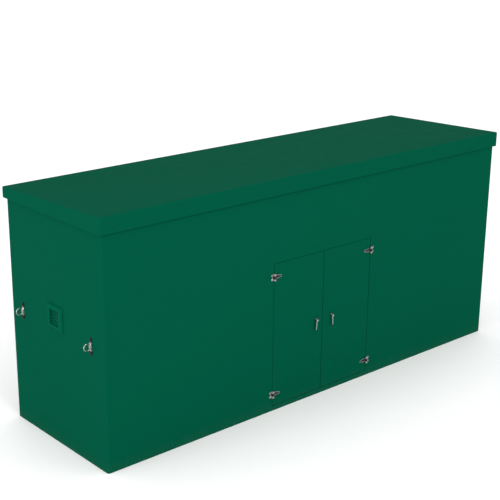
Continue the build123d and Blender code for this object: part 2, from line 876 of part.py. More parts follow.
with BuildPart() as gate_bonnets:
    for side in (-1, 1):
        x = side * gate_x
        shell = (x - gate_shell_half, x + gate_shell_half)
        block(shell, (-gate_chamber, gate_chamber), (bonnet_seat, pipe_z + bonnet_top))
    crowns = gate_bonnets.faces().filter_by(Axis.Z).group_by(Axis.Z)[-1]
    fillet(crowns.edges(), bonnet_edge_radius)
    for side in (-1, 1):
        x = side * gate_x
        stem_foot = (x, 0, bonnet_seat)
        gate_flange(x, bonnet_seat, bonnet_seat + bonnet_flange_thickness)
        gland = (pipe_z + bonnet_top - overrun, pipe_z + gland_foot)
        bar((x, 0, gland[0]), (x, 0, gland[1]), gland_radius)
        block(
            (x - gland_half_x, x + gland_half_x), (-gland_half_y, gland_half_y),
            (pipe_z + gland_foot, pipe_z + gland_top),
        )
        for arm in (-1, 1):
            block(
                (x - yoke_half_x, x + yoke_half_x),
                (arm * (yoke_arm_y - yoke_arm_half), arm * (yoke_arm_y + yoke_arm_half)),
                (pipe_z + bonnet_top - bonnet_edge_radius, pipe_z + yoke_high),
            )
        block(
            (x - yoke_head_half, x + yoke_head_half), (-yoke_arm_y, yoke_arm_y),
            (pipe_z + yoke_low, pipe_z + yoke_high),
        )
        cavity = (x - gate_cavity_half, x + gate_cavity_half)
        ceiling = pipe_z + bonnet_top - bonnet_roof
        block(cavity, (-gate_cavity, gate_cavity), (bonnet_seat, ceiling), Mode.SUBTRACT)
        bar(
            stem_foot, (x, 0, pipe_z + yoke_low), stem_radius + stem_clearance, Mode.SUBTRACT
        )
        bar(
            (x, 0, pipe_z + yoke_low), (x, 0, pipe_z + yoke_high),
            sleeve_radius + stem_clearance, Mode.SUBTRACT,
        )
        bonnet_holes(x, bonnet_seat)
finish(gate_bonnets, "gate_bonnets")

gates = {"inlet": -1, "outlet": 1}
for name, side in gates.items():
    x = side * gate_x
    wedge_z = pipe_z + stem_travel

    # The valve stands open: its wedge is up in the bonnet and its stem is raised.
    with BuildPart() as stem:
        socket = wedge_z + wedge_radius - stem_socket
        with Locations(Location((x, 0, wedge_z), along_x)):
            Cylinder(wedge_radius, 2 * wedge_half)
        bar((x, 0, socket), (x, 0, wedge_z + wedge_radius), socket_radius, Mode.SUBTRACT)
        bar((x, 0, socket + frame_joint), (x, 0, pipe_z + stem_top), stem_radius)
        stem_tip = stem.faces().filter_by(Axis.Z).sort_by(Axis.Z)[-1].edges()
        chamfer(stem_tip, stem_chamfer)
    finish(stem, f"{name}_stem")

    # The handwheel and its bronze sleeve turn in the yoke and never rise.
    with BuildPart() as wheel:
        wheel_level = pipe_z + wheel_z
        collar = pipe_z + yoke_low - knuckle_clearance
        hub_foot = pipe_z + yoke_high + knuckle_clearance
        bar((x, 0, collar - collar_height), (x, 0, collar), collar_radius)
        bar((x, 0, collar), (x, 0, hub_foot), sleeve_radius)
        bar((x, 0, hub_foot), (x, 0, wheel_level + hub_rise), hub_radius)
        with Locations((x, 0, wheel_level)):
            Torus(wheel_radius, wheel_rim)
        for number in range(spoke_count):
            turn = radians(90 + 360 * number / spoke_count)
            spoke_end = (x + wheel_radius * cos(turn), wheel_radius * sin(turn), wheel_level)
            bar((x, 0, wheel_level), spoke_end, spoke_radius)
        bar(
            (x, 0, collar - collar_height), (x, 0, wheel_level + hub_rise),
            stem_radius + stem_clearance, Mode.SUBTRACT,
        )
    finish(wheel, f"{name}_handwheel")

# ================= check valve body and its clappers =================
cover_foot = pipe_z + chamber_top + cover_flange
cover_seat = cover_foot + gasket

with BuildPart() as check_body:
    bar((-check_half, 0, pipe_z), (check_half, 0, pipe_z), barrel_radius)
    for side in (-1, 1):
        pipe_flange((side * (check_half - half_flange), 0, pipe_z), along_x)
        chamber = side * chamber_x
        bar((chamber, 0, pipe_z - chamber_bottom), (chamber, 0, cover_foot), chamber_radius)
        bar((chamber, 0, cover_foot - cover_flange), (chamber, 0, cover_foot), cover_radius)
        polar_holes(
            (chamber, 0, cover_foot), upright, cover_bolt_circle, cover_bolt_count,
            cover_hole_radius, 3 * cover_flange,
        )
    floors = check_body.faces().filter_by(Axis.Z).group_by(Axis.Z)[0]
    fillet(floors.edges(), chamber_floor_radius)
    bar((0, 0, pipe_z), (0, branch_face, pipe_z), branch_radius)
    bar((0, branch_face + branch_plate, pipe_z), (0, branch_face, pipe_z), branch_flange)
    for x in cock_x[1:]:
        bar((x, 0, pipe_z), (x, cock_face, pipe_z), cock_boss_radius)
    bar((sense_x, 0, pipe_z), (sense_x, cock_face, pipe_z), sense_boss_radius)
    bar((-check_half, 0, pipe_z), (check_half, 0, pipe_z), bore_radius, Mode.SUBTRACT)
    for side in (-1, 1):
        chamber = side * chamber_x
        floor = pipe_z - chamber_bottom + chamber_wall
        bar((chamber, 0, floor), (chamber, 0, cover_foot), chamber_bore, Mode.SUBTRACT)
    bar((0, 0, pipe_z), (0, branch_face, pipe_z), branch_bore, Mode.SUBTRACT)
    for x in cock_x[1:]:
        bar((x, 0, pipe_z), (x, cock_face, pipe_z), cock_thread_radius, Mode.SUBTRACT)
    bar((sense_x, 0, pipe_z), (sense_x, cock_face, pipe_z), sense_tube, Mode.SUBTRACT)
    # A seat ring stands proud in each chamber, with two ears for the clapper's shaft.
    for side in (-1, 1):
        chamber = side * chamber_x
        seat_start = chamber - chamber_bore - seat_depth
        bar((seat_start, 0, pipe_z), (chamber + seat_face, 0, pipe_z), seat_radius)
        for ear in (-1, 1):
            block(
                (chamber + ear_span[0], chamber + ear_span[1]), (ear * ear_y[0], ear * ear_y[1]),
                (pipe_z + ear_z[0], pipe_z + ear_z[1]),
            )
        bar((seat_start, 0, pipe_z), (chamber, 0, pipe_z), seat_bore, Mode.SUBTRACT)
        pivot_x = chamber + clapper_pivot_x
        pivot_z = pipe_z + clapper_pivot_z
        bar(
            (pivot_x, -ear_y[1], pivot_z), (pivot_x, ear_y[1], pivot_z),
            shaft_radius + running, Mode.SUBTRACT,
        )
finish(check_body, "check_body")

for name, side in gates.items():
    chamber = side * chamber_x
    pivot_x = chamber + clapper_pivot_x
    pivot_z = pipe_z + clapper_pivot_z
    closed = chamber + seat_face + knuckle_clearance
    with BuildPart() as clapper:
        bar((closed, 0, pipe_z), (closed + clapper_thickness, 0, pipe_z), clapper_radius)
        block(
            (closed + overrun, closed + clapper_thickness + clapper_rib), (-clapper_rib, clapper_rib),
            (pipe_z, pivot_z),
        )
        bar((pivot_x, -hub_half, pivot_z), (pivot_x, hub_half, pivot_z), clapper_hub_radius)
        bar((pivot_x, -ear_y[1], pivot_z), (pivot_x, ear_y[1], pivot_z), shaft_radius)
    finish(clapper, f"{name}_check_clapper")

# ================= relief valve =================
relief_top = pipe_z + relief_shoulder
with BuildPart() as relief_body:
    mating = branch_face - gasket
    bar((0, mating, pipe_z), (0, mating - branch_plate, pipe_z), branch_flange)
    bar((0, mating, pipe_z), (0, relief_y, pipe_z), branch_radius)
    bar((0, relief_y, pipe_z - relief_bottom), (0, relief_y, relief_top), relief_radius)
    bar((0, relief_y, relief_top - branch_plate), (0, relief_y, relief_top), relief_flange)
    bar((0, mating, pipe_z), (0, relief_y, pipe_z), branch_bore, Mode.SUBTRACT)
    bar(
        (0, relief_y, pipe_z - relief_floor), (0, relief_y, relief_top), relief_cavity,
        Mode.SUBTRACT,
    )
    bar(
        (0, relief_y, pipe_z - relief_bottom), (0, relief_y, relief_top), relief_seat,
        Mode.SUBTRACT,
    )
    bar(
        (0, relief_y, pipe_z - relief_bottom), (0, relief_y, pipe_z - relief_floor - relief_web),
        relief_cavity, Mode.SUBTRACT,
    )
finish(relief_body, "relief_body")

with BuildPart() as relief_piston:
    disc_foot = pipe_z - relief_floor + relief_lift + knuckle_clearance
    plate_foot = relief_top - plunger_drop
    bar((0, relief_y, disc_foot), (0, relief_y, disc_foot + plunger_disc), plunger_radius)
    bar((0, relief_y, disc_foot), (0, relief_y, relief_top + plunger_tip), plunger_stem)
    bar((0, relief_y, plate_foot), (0, relief_y, plate_foot + plunger_plate), spring_plate)
finish(relief_piston, "relief_piston")

with BuildPart() as relief_spring:
    spring_foot = pipe_z - relief_floor + spring_wire
    spring_height = plate_foot - spring_foot - spring_wire
    with BuildLine() as coil:
        Helix(
            pitch=spring_height / spring_turns, height=spring_height, radius=spring_radius,
            center=(0, relief_y, spring_foot),
        )
    with BuildSketch(Plane(origin=coil.line @ 0, z_dir=coil.line % 0)):
        Circle(spring_wire - spring_gap)
    sweep(path=coil.line, is_frenet=True)
finish(relief_spring, "relief_spring")

with BuildPart() as valve_covers:
    cover_top = cover_seat + cover_flange
    for side in (-1, 1):
        chamber = side * chamber_x
        bar((chamber, 0, cover_seat), (chamber, 0, cover_top), cover_radius)
        bar((chamber, 0, cover_seat), (chamber, 0, cover_top + cover_dome), cover_dome_radius)
        polar_holes(
            (chamber, 0, cover_seat), upright, cover_bolt_circle, cover_bolt_count,
            cover_hole_radius, 3 * cover_flange,
        )
    domes = valve_covers.faces().filter_by(Axis.Z).group_by(Axis.Z)[-1]
    fillet(domes.edges(), cover_dome / 2)
    relief_seat_z = relief_top + gasket
    relief_dome_z = relief_seat_z + branch_plate + relief_dome
    nipple_z = relief_dome_z + relief_nipple
    bar((0, relief_y, relief_seat_z), (0, relief_y, relief_seat_z + branch_plate), relief_flange)
    bar((0, relief_y, relief_seat_z), (0, relief_y, relief_dome_z), relief_radius)
    bar((0, relief_y, relief_dome_z), (0, relief_y, nipple_z), sense_boss_radius)
    dome_ceiling = (0, relief_y, relief_dome_z - relief_roof)
    bar((0, relief_y, relief_seat_z), dome_ceiling, relief_cavity, Mode.SUBTRACT)
    bar((0, relief_y, relief_seat_z), (0, relief_y, nipple_z), sense_tube, Mode.SUBTRACT)
finish(valve_covers, "valve_covers")

# The sensing line carries the inlet pressure to the top of the relief valve's diaphragm.
with BuildPart() as sensing_line:
    line_top = nipple_z + sense_rise
    route = [
        (0, relief_y, nipple_z - sense_socket),
        (0, relief_y, line_top),
        (sense_x, relief_y, line_top),
        (sense_x, relief_y, pipe_z),
        (sense_x, cock_face + sense_end, pipe_z),
    ]
    with BuildLine() as tube_path:
        FilletPolyline(*route, radius=sense_bend)
    with BuildSketch(Plane(origin=route[0], z_dir=(0, 0, 1))):
        Circle(sense_tube)
        Circle(sense_bore, mode=Mode.SUBTRACT)
    sweep(path=tube_path.line)
finish(sensing_line, "sensing_line")

# ================= test cocks =================
with BuildPart() as test_cocks:
    for x in cock_x:
        bar((x, cock_face + cock_thread, pipe_z), (x, cock_face, pipe_z), cock_thread_radius)
        with BuildSketch(Plane.XZ.offset(-cock_face)):
            with Locations((x, pipe_z)):
                RegularPolygon(cock_body_radius, 6)
        extrude(amount=cock_hexagon)
        cock_end = cock_face - cock_length
        neck = cock_end + cock_nozzle
        bar((x, cock_face - cock_hexagon, pipe_z), (x, neck, pipe_z), cock_body_radius)
        bar((x, neck, pipe_z), (x, cock_end, pipe_z), cock_thread_radius)
        stem_end = (x, cock_stem_y, pipe_z + cock_stem_top)
        bar((x, cock_stem_y, pipe_z), stem_end, cock_neck_radius)
        water_way = ((x, cock_face + cock_thread, pipe_z), (x, cock_end, pipe_z))
        bar(*water_way, cock_bore, Mode.SUBTRACT)
        bar(
            (x, cock_stem_y, pipe_z + cock_stem_foot), (x, cock_stem_y, pipe_z + cock_stem_top),
            cock_stem_radius + running, Mode.SUBTRACT,
        )
finish(test_cocks, "test_cocks")

for number, x in enumerate(cock_x, start=1):
    with BuildPart() as lever:
        lever_foot = pipe_z + cock_stem_top + knuckle_clearance
        lever_z = (lever_foot, lever_foot + lever_thickness)
        with BuildSketch(Plane.XY.offset(lever_foot)):
            with Locations((x + cock_lever / 2 - lever_tail, cock_stem_y)):
                SlotOverall(cock_lever + lever_width, lever_width)
        extrude(amount=lever_thickness)
        bar(
            (x, cock_stem_y, pipe_z + cock_stem_foot + knuckle_clearance),
            (x, cock_stem_y, lever_z[1]), cock_stem_radius,
        )
    finish(lever, f"test_cock_lever_{number}")

# ================= gaskets, bolts and stands =================
joint_x = (check_half + gasket / 2, elbow_face - gasket / 2)
flange_joints = [((side * x, 0, pipe_z), along_x) for side in (-1, 1) for x in joint_x]
flange_joints += [((side * riser_x, 0, riser_top + gasket / 2), upright) for side in (-1, 1)]

with BuildPart() as pipe_gaskets:
    for centre, turn in flange_joints:
        with Locations(Location(centre, turn)):
            Cylinder(bolt_circle - bolt_hole_radius, gasket)
            Cylinder(bore_radius, gasket, mode=Mode.SUBTRACT)
    for side in (-1, 1):
        chamber = side * chamber_x
        bar((chamber, 0, cover_foot), (chamber, 0, cover_seat), chamber_radius)
        bar((chamber, 0, cover_foot), (chamber, 0, cover_seat), chamber_bore, Mode.SUBTRACT)
        x = side * gate_x
        shell = (x - gate_shell_half, x + gate_shell_half)
        block(shell, (-gate_chamber, gate_chamber), (bonnet_foot, bonnet_seat))
        cavity = (x - gate_cavity_half, x + gate_cavity_half)
        block(cavity, (-gate_cavity, gate_cavity), (bonnet_foot, bonnet_seat), Mode.SUBTRACT)
    bar((0, branch_face, pipe_z), (0, branch_face - gasket, pipe_z), branch_flange)
    bar((0, branch_face, pipe_z), (0, branch_face - gasket, pipe_z), branch_bore, Mode.SUBTRACT)
    bar((0, relief_y, relief_top), (0, relief_y, relief_top + gasket), relief_flange)
    bar(
        (0, relief_y, relief_top), (0, relief_y, relief_top + gasket),
        plunger_stem + knuckle_clearance, Mode.SUBTRACT,
    )
finish(pipe_gaskets, "pipe_gaskets")


def bolt_shape(radius, grip):
    """A hexagon bolt along Z with its nut, centred on the joint that it holds."""
    half = grip / 2
    with BuildPart() as bolt:
        Cylinder(radius, grip + 2 * nut_height(radius) + radius * bolt_end)
        for foot in (half, -half - nut_height(radius)):
            with BuildSketch(Plane.XY.offset(foot)):
                RegularPolygon(radius * hexagon_ratio, 6)
            extrude(amount=nut_height(radius))
    return bolt.part


def nut_height(radius):
    """The height of a nut or a bolt head."""
    return radius * nut_ratio


with BuildPart() as flange_bolts:
    flange_bolt = bolt_shape(bolt_radius, 2 * flange_thickness + gasket)
    for centre, turn in flange_joints:
        with Locations(Location(centre, turn)):
            with PolarLocations(bolt_circle, bolt_count, start_angle=180 / bolt_count):
                add(flange_bolt)
finish(flange_bolts, "flange_bolts")

with BuildPart() as cover_bolts:
    cover_bolt = bolt_shape(cover_bolt_radius, 2 * cover_flange + gasket)
    bonnet_bolt = bolt_shape(cover_bolt_radius, 2 * bonnet_flange_thickness + gasket)
    for side in (-1, 1):
        with Locations((side * chamber_x, 0, cover_foot + gasket / 2)):
            with PolarLocations(
                cover_bolt_circle, cover_bolt_count, start_angle=180 / cover_bolt_count
            ):
                add(cover_bolt)
        with Locations((side * gate_x, 0, bonnet_foot + gasket / 2)):
            with GridLocations(2 * bonnet_bolt_x, bonnet_bolt_pitch, 2, bonnet_bolt_rows):
                add(bonnet_bolt)
finish(cover_bolts, "cover_bolts")

# Each stand is a foot with a tube, and a screw with a saddle under the pipe.
with BuildPart() as pipe_stands:
    for x in (-stand_x, stand_x):
        block((x - foot_half, x + foot_half), (-foot_half, foot_half), (0, foot_thickness))
        bar((x, 0, 0), (x, 0, stand_tube_top), stand_tube_radius)
        bar(
            (x, 0, foot_thickness), (x, 0, stand_tube_top), stand_screw_radius + frame_joint,
            Mode.SUBTRACT,
        )
        bar((x, 0, stand_screw_low), (x, 0, saddle_low), stand_screw_radius)
        nut_low = stand_tube_top + frame_joint
        bar((x, 0, nut_low), (x, 0, nut_low + foot_thickness), stand_tube_radius)
        block(
            (x - saddle_half_x, x + saddle_half_x), (-saddle_half_y, saddle_half_y),
            (saddle_low, saddle_high),
        )
    bar((-check_half, 0, pipe_z), (check_half, 0, pipe_z), barrel_radius, Mode.SUBTRACT)
finish(pipe_stands, "pipe_stands")
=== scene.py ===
import json
import math

import bmesh
import bpy
from mathutils import Matrix, Vector


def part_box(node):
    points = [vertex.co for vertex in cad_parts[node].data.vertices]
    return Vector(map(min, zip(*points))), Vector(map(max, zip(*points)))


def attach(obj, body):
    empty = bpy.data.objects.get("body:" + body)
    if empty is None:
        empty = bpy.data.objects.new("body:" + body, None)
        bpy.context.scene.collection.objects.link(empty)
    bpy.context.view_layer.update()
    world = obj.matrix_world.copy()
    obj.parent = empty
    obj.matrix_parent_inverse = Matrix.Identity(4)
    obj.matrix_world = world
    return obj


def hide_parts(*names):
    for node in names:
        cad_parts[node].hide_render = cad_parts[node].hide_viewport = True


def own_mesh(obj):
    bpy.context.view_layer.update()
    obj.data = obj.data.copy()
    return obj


# Looks for an insulated backflow preventer enclosure. Metres throughout, in the CAD frame:
# X runs along the enclosure, the doors face -Y and +Z is up.

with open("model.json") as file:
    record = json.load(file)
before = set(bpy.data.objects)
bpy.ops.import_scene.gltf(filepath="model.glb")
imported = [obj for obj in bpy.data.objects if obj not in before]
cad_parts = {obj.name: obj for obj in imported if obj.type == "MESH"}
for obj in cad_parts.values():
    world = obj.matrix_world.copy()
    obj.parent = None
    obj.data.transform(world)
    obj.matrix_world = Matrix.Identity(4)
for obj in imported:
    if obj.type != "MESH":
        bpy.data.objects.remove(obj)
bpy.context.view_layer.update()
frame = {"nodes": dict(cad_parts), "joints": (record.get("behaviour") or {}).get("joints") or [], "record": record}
nodes = frame["nodes"]
ROOT = "enclosure"
SIDES = {"left": -1, "right": 1}
GATES = {"inlet": -1, "outlet": 1}

wall_low, wall_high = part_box("outer_shell")
front_y = wall_low.y
end_x = wall_high.x
joint_at = {joint["name"]: joint for joint in frame["joints"]}
mount_at = {mount["name"]: mount for mount in frame["record"]["mounts"]}


# ================= material tools =================
class Finish:
    """A Principled material and short ways to wire procedural textures into it."""

    def __init__(self, name, roughness, metallic=0.0, specular=0.5):
        self.material = bpy.data.materials.new(name)
        self.material.use_nodes = True
        self.tree = self.material.node_tree
        self.shader = self.tree.nodes["Principled BSDF"]
        self.set(Roughness=roughness, Metallic=metallic)
        self.shader.inputs["Specular IOR Level"].default_value = specular
        self.place = self.tree.nodes.new("ShaderNodeTexCoord").outputs["Object"]
        self.height = None

    def set(self, **values):
        for socket, value in values.items():
            self.shader.inputs[socket.replace("_", " ")].default_value = value

    def wire(self, source, target):
        self.tree.links.new(source, target)

    def put(self, value, socket):
        """Give a socket a constant or another node's output."""
        if isinstance(value, bpy.types.NodeSocket):
            self.wire(value, socket)
        elif isinstance(value, tuple) and len(value) == 3 and len(socket.default_value) == 4:
            socket.default_value = (*value, 1.0)
        else:
            socket.default_value = value

    def math(self, operation, first, second=0.0, clamp=False):
        node = self.tree.nodes.new("ShaderNodeMath")
        node.operation = operation
        node.use_clamp = clamp
        self.put(first, node.inputs[0])
        self.put(second, node.inputs[1])
        return node.outputs[0]

    def stretched(self, stretch):
        """The place in space, squeezed along chosen axes."""
        node = self.tree.nodes.new("ShaderNodeMapping")
        node.inputs["Scale"].default_value = stretch
        self.wire(self.place, node.inputs["Vector"])
        return node.outputs["Vector"]

    def axis(self, name):
        """One coordinate of the place in space."""
        node = self.tree.nodes.new("ShaderNodeSeparateXYZ")
        self.wire(self.place, node.inputs[0])
        return node.outputs[name]

    def noise(self, grain, detail=3.0, stretch=(1, 1, 1), rough=0.55):
        """Soft noise whose grain has that size in metres."""
        node = self.tree.nodes.new("ShaderNodeTexNoise")
        self.wire(self.stretched(stretch), node.inputs["Vector"])
        node.inputs["Scale"].default_value = 1.0 / grain
        node.inputs["Detail"].default_value = detail
        node.inputs["Roughness"].default_value = rough
        return node.outputs["Fac"]

    def cells(self, grain, output="Color", feature="F1"):
        """Voronoi cells of that size in metres."""
        node = self.tree.nodes.new("ShaderNodeTexVoronoi")
        node.feature = feature
        node.inputs["Scale"].default_value = 1.0 / grain
        self.wire(self.place, node.inputs["Vector"])
        return node.outputs[output]

    def step(self, value, low, high, start=0.0, end=1.0):
        """value from low to high, spread smoothly over start to end."""
        node = self.tree.nodes.new("ShaderNodeMapRange")
        node.interpolation_type = "SMOOTHSTEP"
        self.put(value, node.inputs["Value"])
        for socket, number in zip(("From Min", "From Max", "To Min", "To Max"),
                                  (low, high, start, end)):
            node.inputs[socket].default_value = number
        return node.outputs["Result"]

    def blend(self, share, first, second):
        """A mix of two colours."""
        node = self.tree.nodes.new("ShaderNodeMix")
        node.data_type = "RGBA"
        self.put(share, node.inputs["Factor"])
        self.put(first, node.inputs[6])
        self.put(second, node.inputs[7])
        return node.outputs[2]

    def colour(self, value):
        self.put(value, self.shader.inputs["Base Color"])

    def roughness(self, value, low, high):
        """Roughness that follows a texture between two values."""
        self.wire(self.step(value, 0.3, 0.7, low, high), self.shader.inputs["Roughness"])

    def bump(self, value, depth, strength=1.0):
        """Relief of that depth in metres, on top of any relief made before."""
        node = self.tree.nodes.new("ShaderNodeBump")
        node.inputs["Strength"].default_value = strength
        node.inputs["Distance"].default_value = depth
        self.wire(value, node.inputs["Height"])
        if self.height is not None:
            self.wire(self.height, node.inputs["Normal"])
        self.height = node.outputs["Normal"]
        self.wire(self.height, self.shader.inputs["Normal"])


def shade(colour, factor):
    """A colour made darker or lighter."""
    return tuple(min(1.0, channel * factor) for channel in colour)


# ================= materials =================
GREEN = (0.0003, 0.0775, 0.0405)
DUST = (0.10, 0.13, 0.10)
THREAD_PITCH = 0.008
THREAD_DROP = 0.055  # a stem's thread starts this far below its handwheel


def green_gelcoat(name, factor=1.0):
    """Smooth coloured gelcoat on glass fibre: faint ripple, orange peel, dust low down."""
    made = Finish(name, 0.5, specular=0.1)
    made.set(IOR=1.08)
    base = shade(GREEN, factor)
    tone = made.blend(made.noise(0.55, 2.0), shade(base, 0.985), shade(base, 1.015))
    tone = made.blend(
        made.step(made.noise(0.02, 5.0), 0.35, 0.75, 0.0, 0.5), tone, shade(base, 0.96)
    )
    runs = made.noise(0.05, 3.0, (1, 1, 0.04))
    runs = made.math("MULTIPLY", made.step(runs, 0.58, 0.8), 0.07)
    tone = made.blend(runs, tone, shade(base, 0.8))
    splash = made.step(made.axis("Z"), 0.0, 0.09, 1.0, 0.0)
    splash = made.math("MULTIPLY", splash, made.step(made.noise(0.012, 6.0), 0.4, 0.7, 0.0, 0.12))
    made.colour(made.blend(splash, tone, DUST))
    made.roughness(made.noise(0.12, 4.0), 0.46, 0.53)
    made.bump(made.noise(0.6, 1.0), 0.0010, 0.2)
    made.bump(made.noise(0.0045, 2.0), 0.00006, 0.5)
    return made.material


def foam(name):
    """Pale polyurethane foam with fine cells."""
    made = Finish(name, 0.95, specular=0.1)
    cream = (0.74, 0.63, 0.36)
    made.colour(made.blend(made.noise(0.03, 5.0), shade(cream, 0.86), shade(cream, 1.1)))
    made.bump(made.cells(0.0016, "Distance"), 0.0005, 0.7)
    return made.material


def white_laminate(name):
    """White glass fibre liner whose mat shows faintly through the resin."""
    made = Finish(name, 0.4, specular=0.35)
    white = (0.74, 0.75, 0.71)
    tone = made.blend(made.noise(0.25, 3.0), shade(white, 0.95), shade(white, 1.03))
    strands = made.noise(0.004, 3.0, (1, 0.25, 1))
    tone = made.blend(made.step(strands, 0.5, 0.75, 0.0, 0.25), tone, shade(white, 0.86))
    damp = made.step(made.axis("Z"), 0.03, 0.22, 0.22, 0.0)
    damp = made.math("MULTIPLY", damp, made.step(made.noise(0.06, 4.0), 0.35, 0.65))
    made.colour(made.blend(damp, tone, (0.42, 0.38, 0.28)))
    made.roughness(made.noise(0.05, 3.0), 0.3, 0.5)
    made.bump(strands, 0.0003, 0.35)
    return made.material


def rubber(name):
    """Black sponge rubber, a little grey where it has been pressed."""
    made = Finish(name, 0.8, specular=0.3)
    made.colour(made.blend(made.noise(0.02, 4.0), (0.012, 0.012, 0.013), (0.035, 0.035, 0.036)))
    made.bump(made.cells(0.0012, "Distance"), 0.0003, 0.5)
    made.roughness(made.noise(0.008, 3.0), 0.7, 0.92)
    return made.material


def galvanised(name):
    """Hot-dip zinc with its spangle and dull patches."""
    made = Finish(name, 0.45, metallic=0.9)
    spangle = made.cells(0.011)
    grey = made.tree.nodes.new("ShaderNodeRGBToBW")
    made.wire(spangle, grey.inputs[0])
    tone = made.blend(grey.outputs[0], (0.42, 0.44, 0.45), (0.66, 0.68, 0.69))
    dull = made.step(made.noise(0.07, 4.0), 0.5, 0.75, 0.0, 0.6)
    made.colour(made.blend(dull, tone, (0.36, 0.37, 0.37)))
    made.wire(made.step(grey.outputs[0], 0.0, 1.0, 0.34, 0.6), made.shader.inputs["Roughness"])
    made.bump(made.noise(0.004, 3.0), 0.0002, 0.3)
    return made.material


def brushed(name, tone, grain, low, high, tarnish=(0.30, 0.28, 0.25), share=0.35):
    """Bare metal with fine scratches along one direction and a little tarnish."""
    made = Finish(name, (low + high) / 2, metallic=1.0)
    lines = made.noise(0.0012, 3.0, grain)
    base = made.blend(lines, shade(tone, 0.86), shade(tone, 1.08))
    spots = made.step(made.noise(0.012, 5.0), 0.56, 0.74, 0.0, share)
    made.colour(made.blend(spots, base, tarnish))
    made.roughness(lines, low, high)
    made.bump(lines, 0.00004, 0.4)
    return made.material


def eye_plate_steel(name):
    """Bright pressed steel with painted shade at the two ends of each plate."""
    made = Finish(name, 0.28, metallic=1.0)
    eye_level = mount_at["left_front_sling_eye"]["pos_m"][2]
    reach = made.math("ABSOLUTE", made.math("SUBTRACT", made.axis("Z"), eye_level))
    # painted shade: the plate's two ends are made near-black
    ends = made.step(reach, 0.024, 0.029, 0.0, 0.92)
    lines = made.noise(0.0012, 3.0, (1, 1, 0.2))
    bright = made.blend(lines, (0.72, 0.71, 0.70), (0.92, 0.91, 0.90))
    painted_end_shade = made.blend(made.noise(0.004, 4.0), (0.045, 0.036, 0.034), (0.10, 0.082, 0.078))
    made.colour(made.blend(ends, bright, painted_end_shade))
    made.roughness(made.noise(0.006, 4.0), 0.2, 0.38)
    made.bump(lines, 0.00005, 0.4)
    return made.material


def moulded_black(name):
    """Black glass-filled nylon with a fine spark texture."""
    made = Finish(name, 0.5, specular=0.4)
    made.colour(made.blend(made.noise(0.01, 3.0), (0.012, 0.012, 0.012), (0.03, 0.03, 0.031)))
    made.bump(made.noise(0.0009, 2.0), 0.00012, 0.6)
    made.roughness(made.noise(0.02, 3.0), 0.42, 0.6)
    return made.material


def cast_paint(name, tone, coat=0.25, grain=0.0035, chips=0.0):
    """Paint over a sand casting: pebbled skin, soft gloss, dust and small chips."""
    made = Finish(name, 0.4, specular=0.5)
    base = made.blend(made.noise(0.09, 3.0), shade(tone, 0.88), shade(tone, 1.10))
    dusty = made.step(made.noise(0.03, 6.0), 0.45, 0.80, 0.0, 0.10)
    base = made.blend(dusty, base, (0.28, 0.26, 0.22))
    if chips:
        worn = made.step(made.noise(0.007, 6.0, rough=0.7), 0.68, 0.70, 0.0, chips)
        base = made.blend(worn, base, (0.09, 0.055, 0.04))
    made.colour(base)
    made.set(Coat_Weight=coat, Coat_Roughness=0.25)
    made.roughness(made.noise(0.02, 4.0), 0.3, 0.52)
    made.bump(made.noise(grain, 3.0), 0.0009, 0.45)
    return made.material


def turned_stem(name):
    """Turned steel stems with dark grease in the groove of the thread."""
    made = Finish(name, 0.25, metallic=1.0)
    wheel_x, _, wheel_z = joint_at["outlet_handwheel_turn"]["pos_m"]
    across = made.math("SUBTRACT", made.math("ABSOLUTE", made.axis("X")), wheel_x)
    turn = made.math("ARCTAN2", made.axis("Y"), across)
    climb = made.math("DIVIDE", made.axis("Z"), THREAD_PITCH)
    phase = made.math("ADD", climb, made.math("DIVIDE", turn, 2 * math.pi))
    wave = made.math("ABSOLUTE", made.math("SUBTRACT", made.math("FRACT", phase), 0.5))
    thread_foot = wheel_z - THREAD_DROP
    threaded = made.step(made.axis("Z"), thread_foot, thread_foot + 0.001)
    groove = made.math("MULTIPLY", made.step(wave, 0.17, 0.32), threaded)
    steel = made.blend(made.noise(0.02, 4.0), (0.50, 0.49, 0.46), (0.68, 0.67, 0.63))
    made.colour(made.blend(made.step(groove, 0.0, 1.0, 0.0, 0.75), steel, (0.16, 0.13, 0.09)))
    made.roughness(made.noise(0.006, 4.0), 0.2, 0.4)
    made.bump(made.noise(0.0006, 2.0, (0.1, 0.1, 1)), 0.00004, 0.4)
    return made.material


def bronze(name, tone=(0.62, 0.38, 0.15)):
    """Cast bronze or brass with brown patina in patches."""
    made = Finish(name, 0.38, metallic=1.0)
    base = made.blend(made.noise(0.015, 4.0), shade(tone, 0.78), shade(tone, 1.15))
    patina = made.step(made.noise(0.01, 5.0), 0.52, 0.72, 0.0, 0.5)
    made.colour(made.blend(patina, base, (0.18, 0.11, 0.06)))
    made.roughness(made.noise(0.006, 4.0), 0.28, 0.5)
    made.bump(made.noise(0.002, 3.0), 0.0002, 0.4)
    return made.material


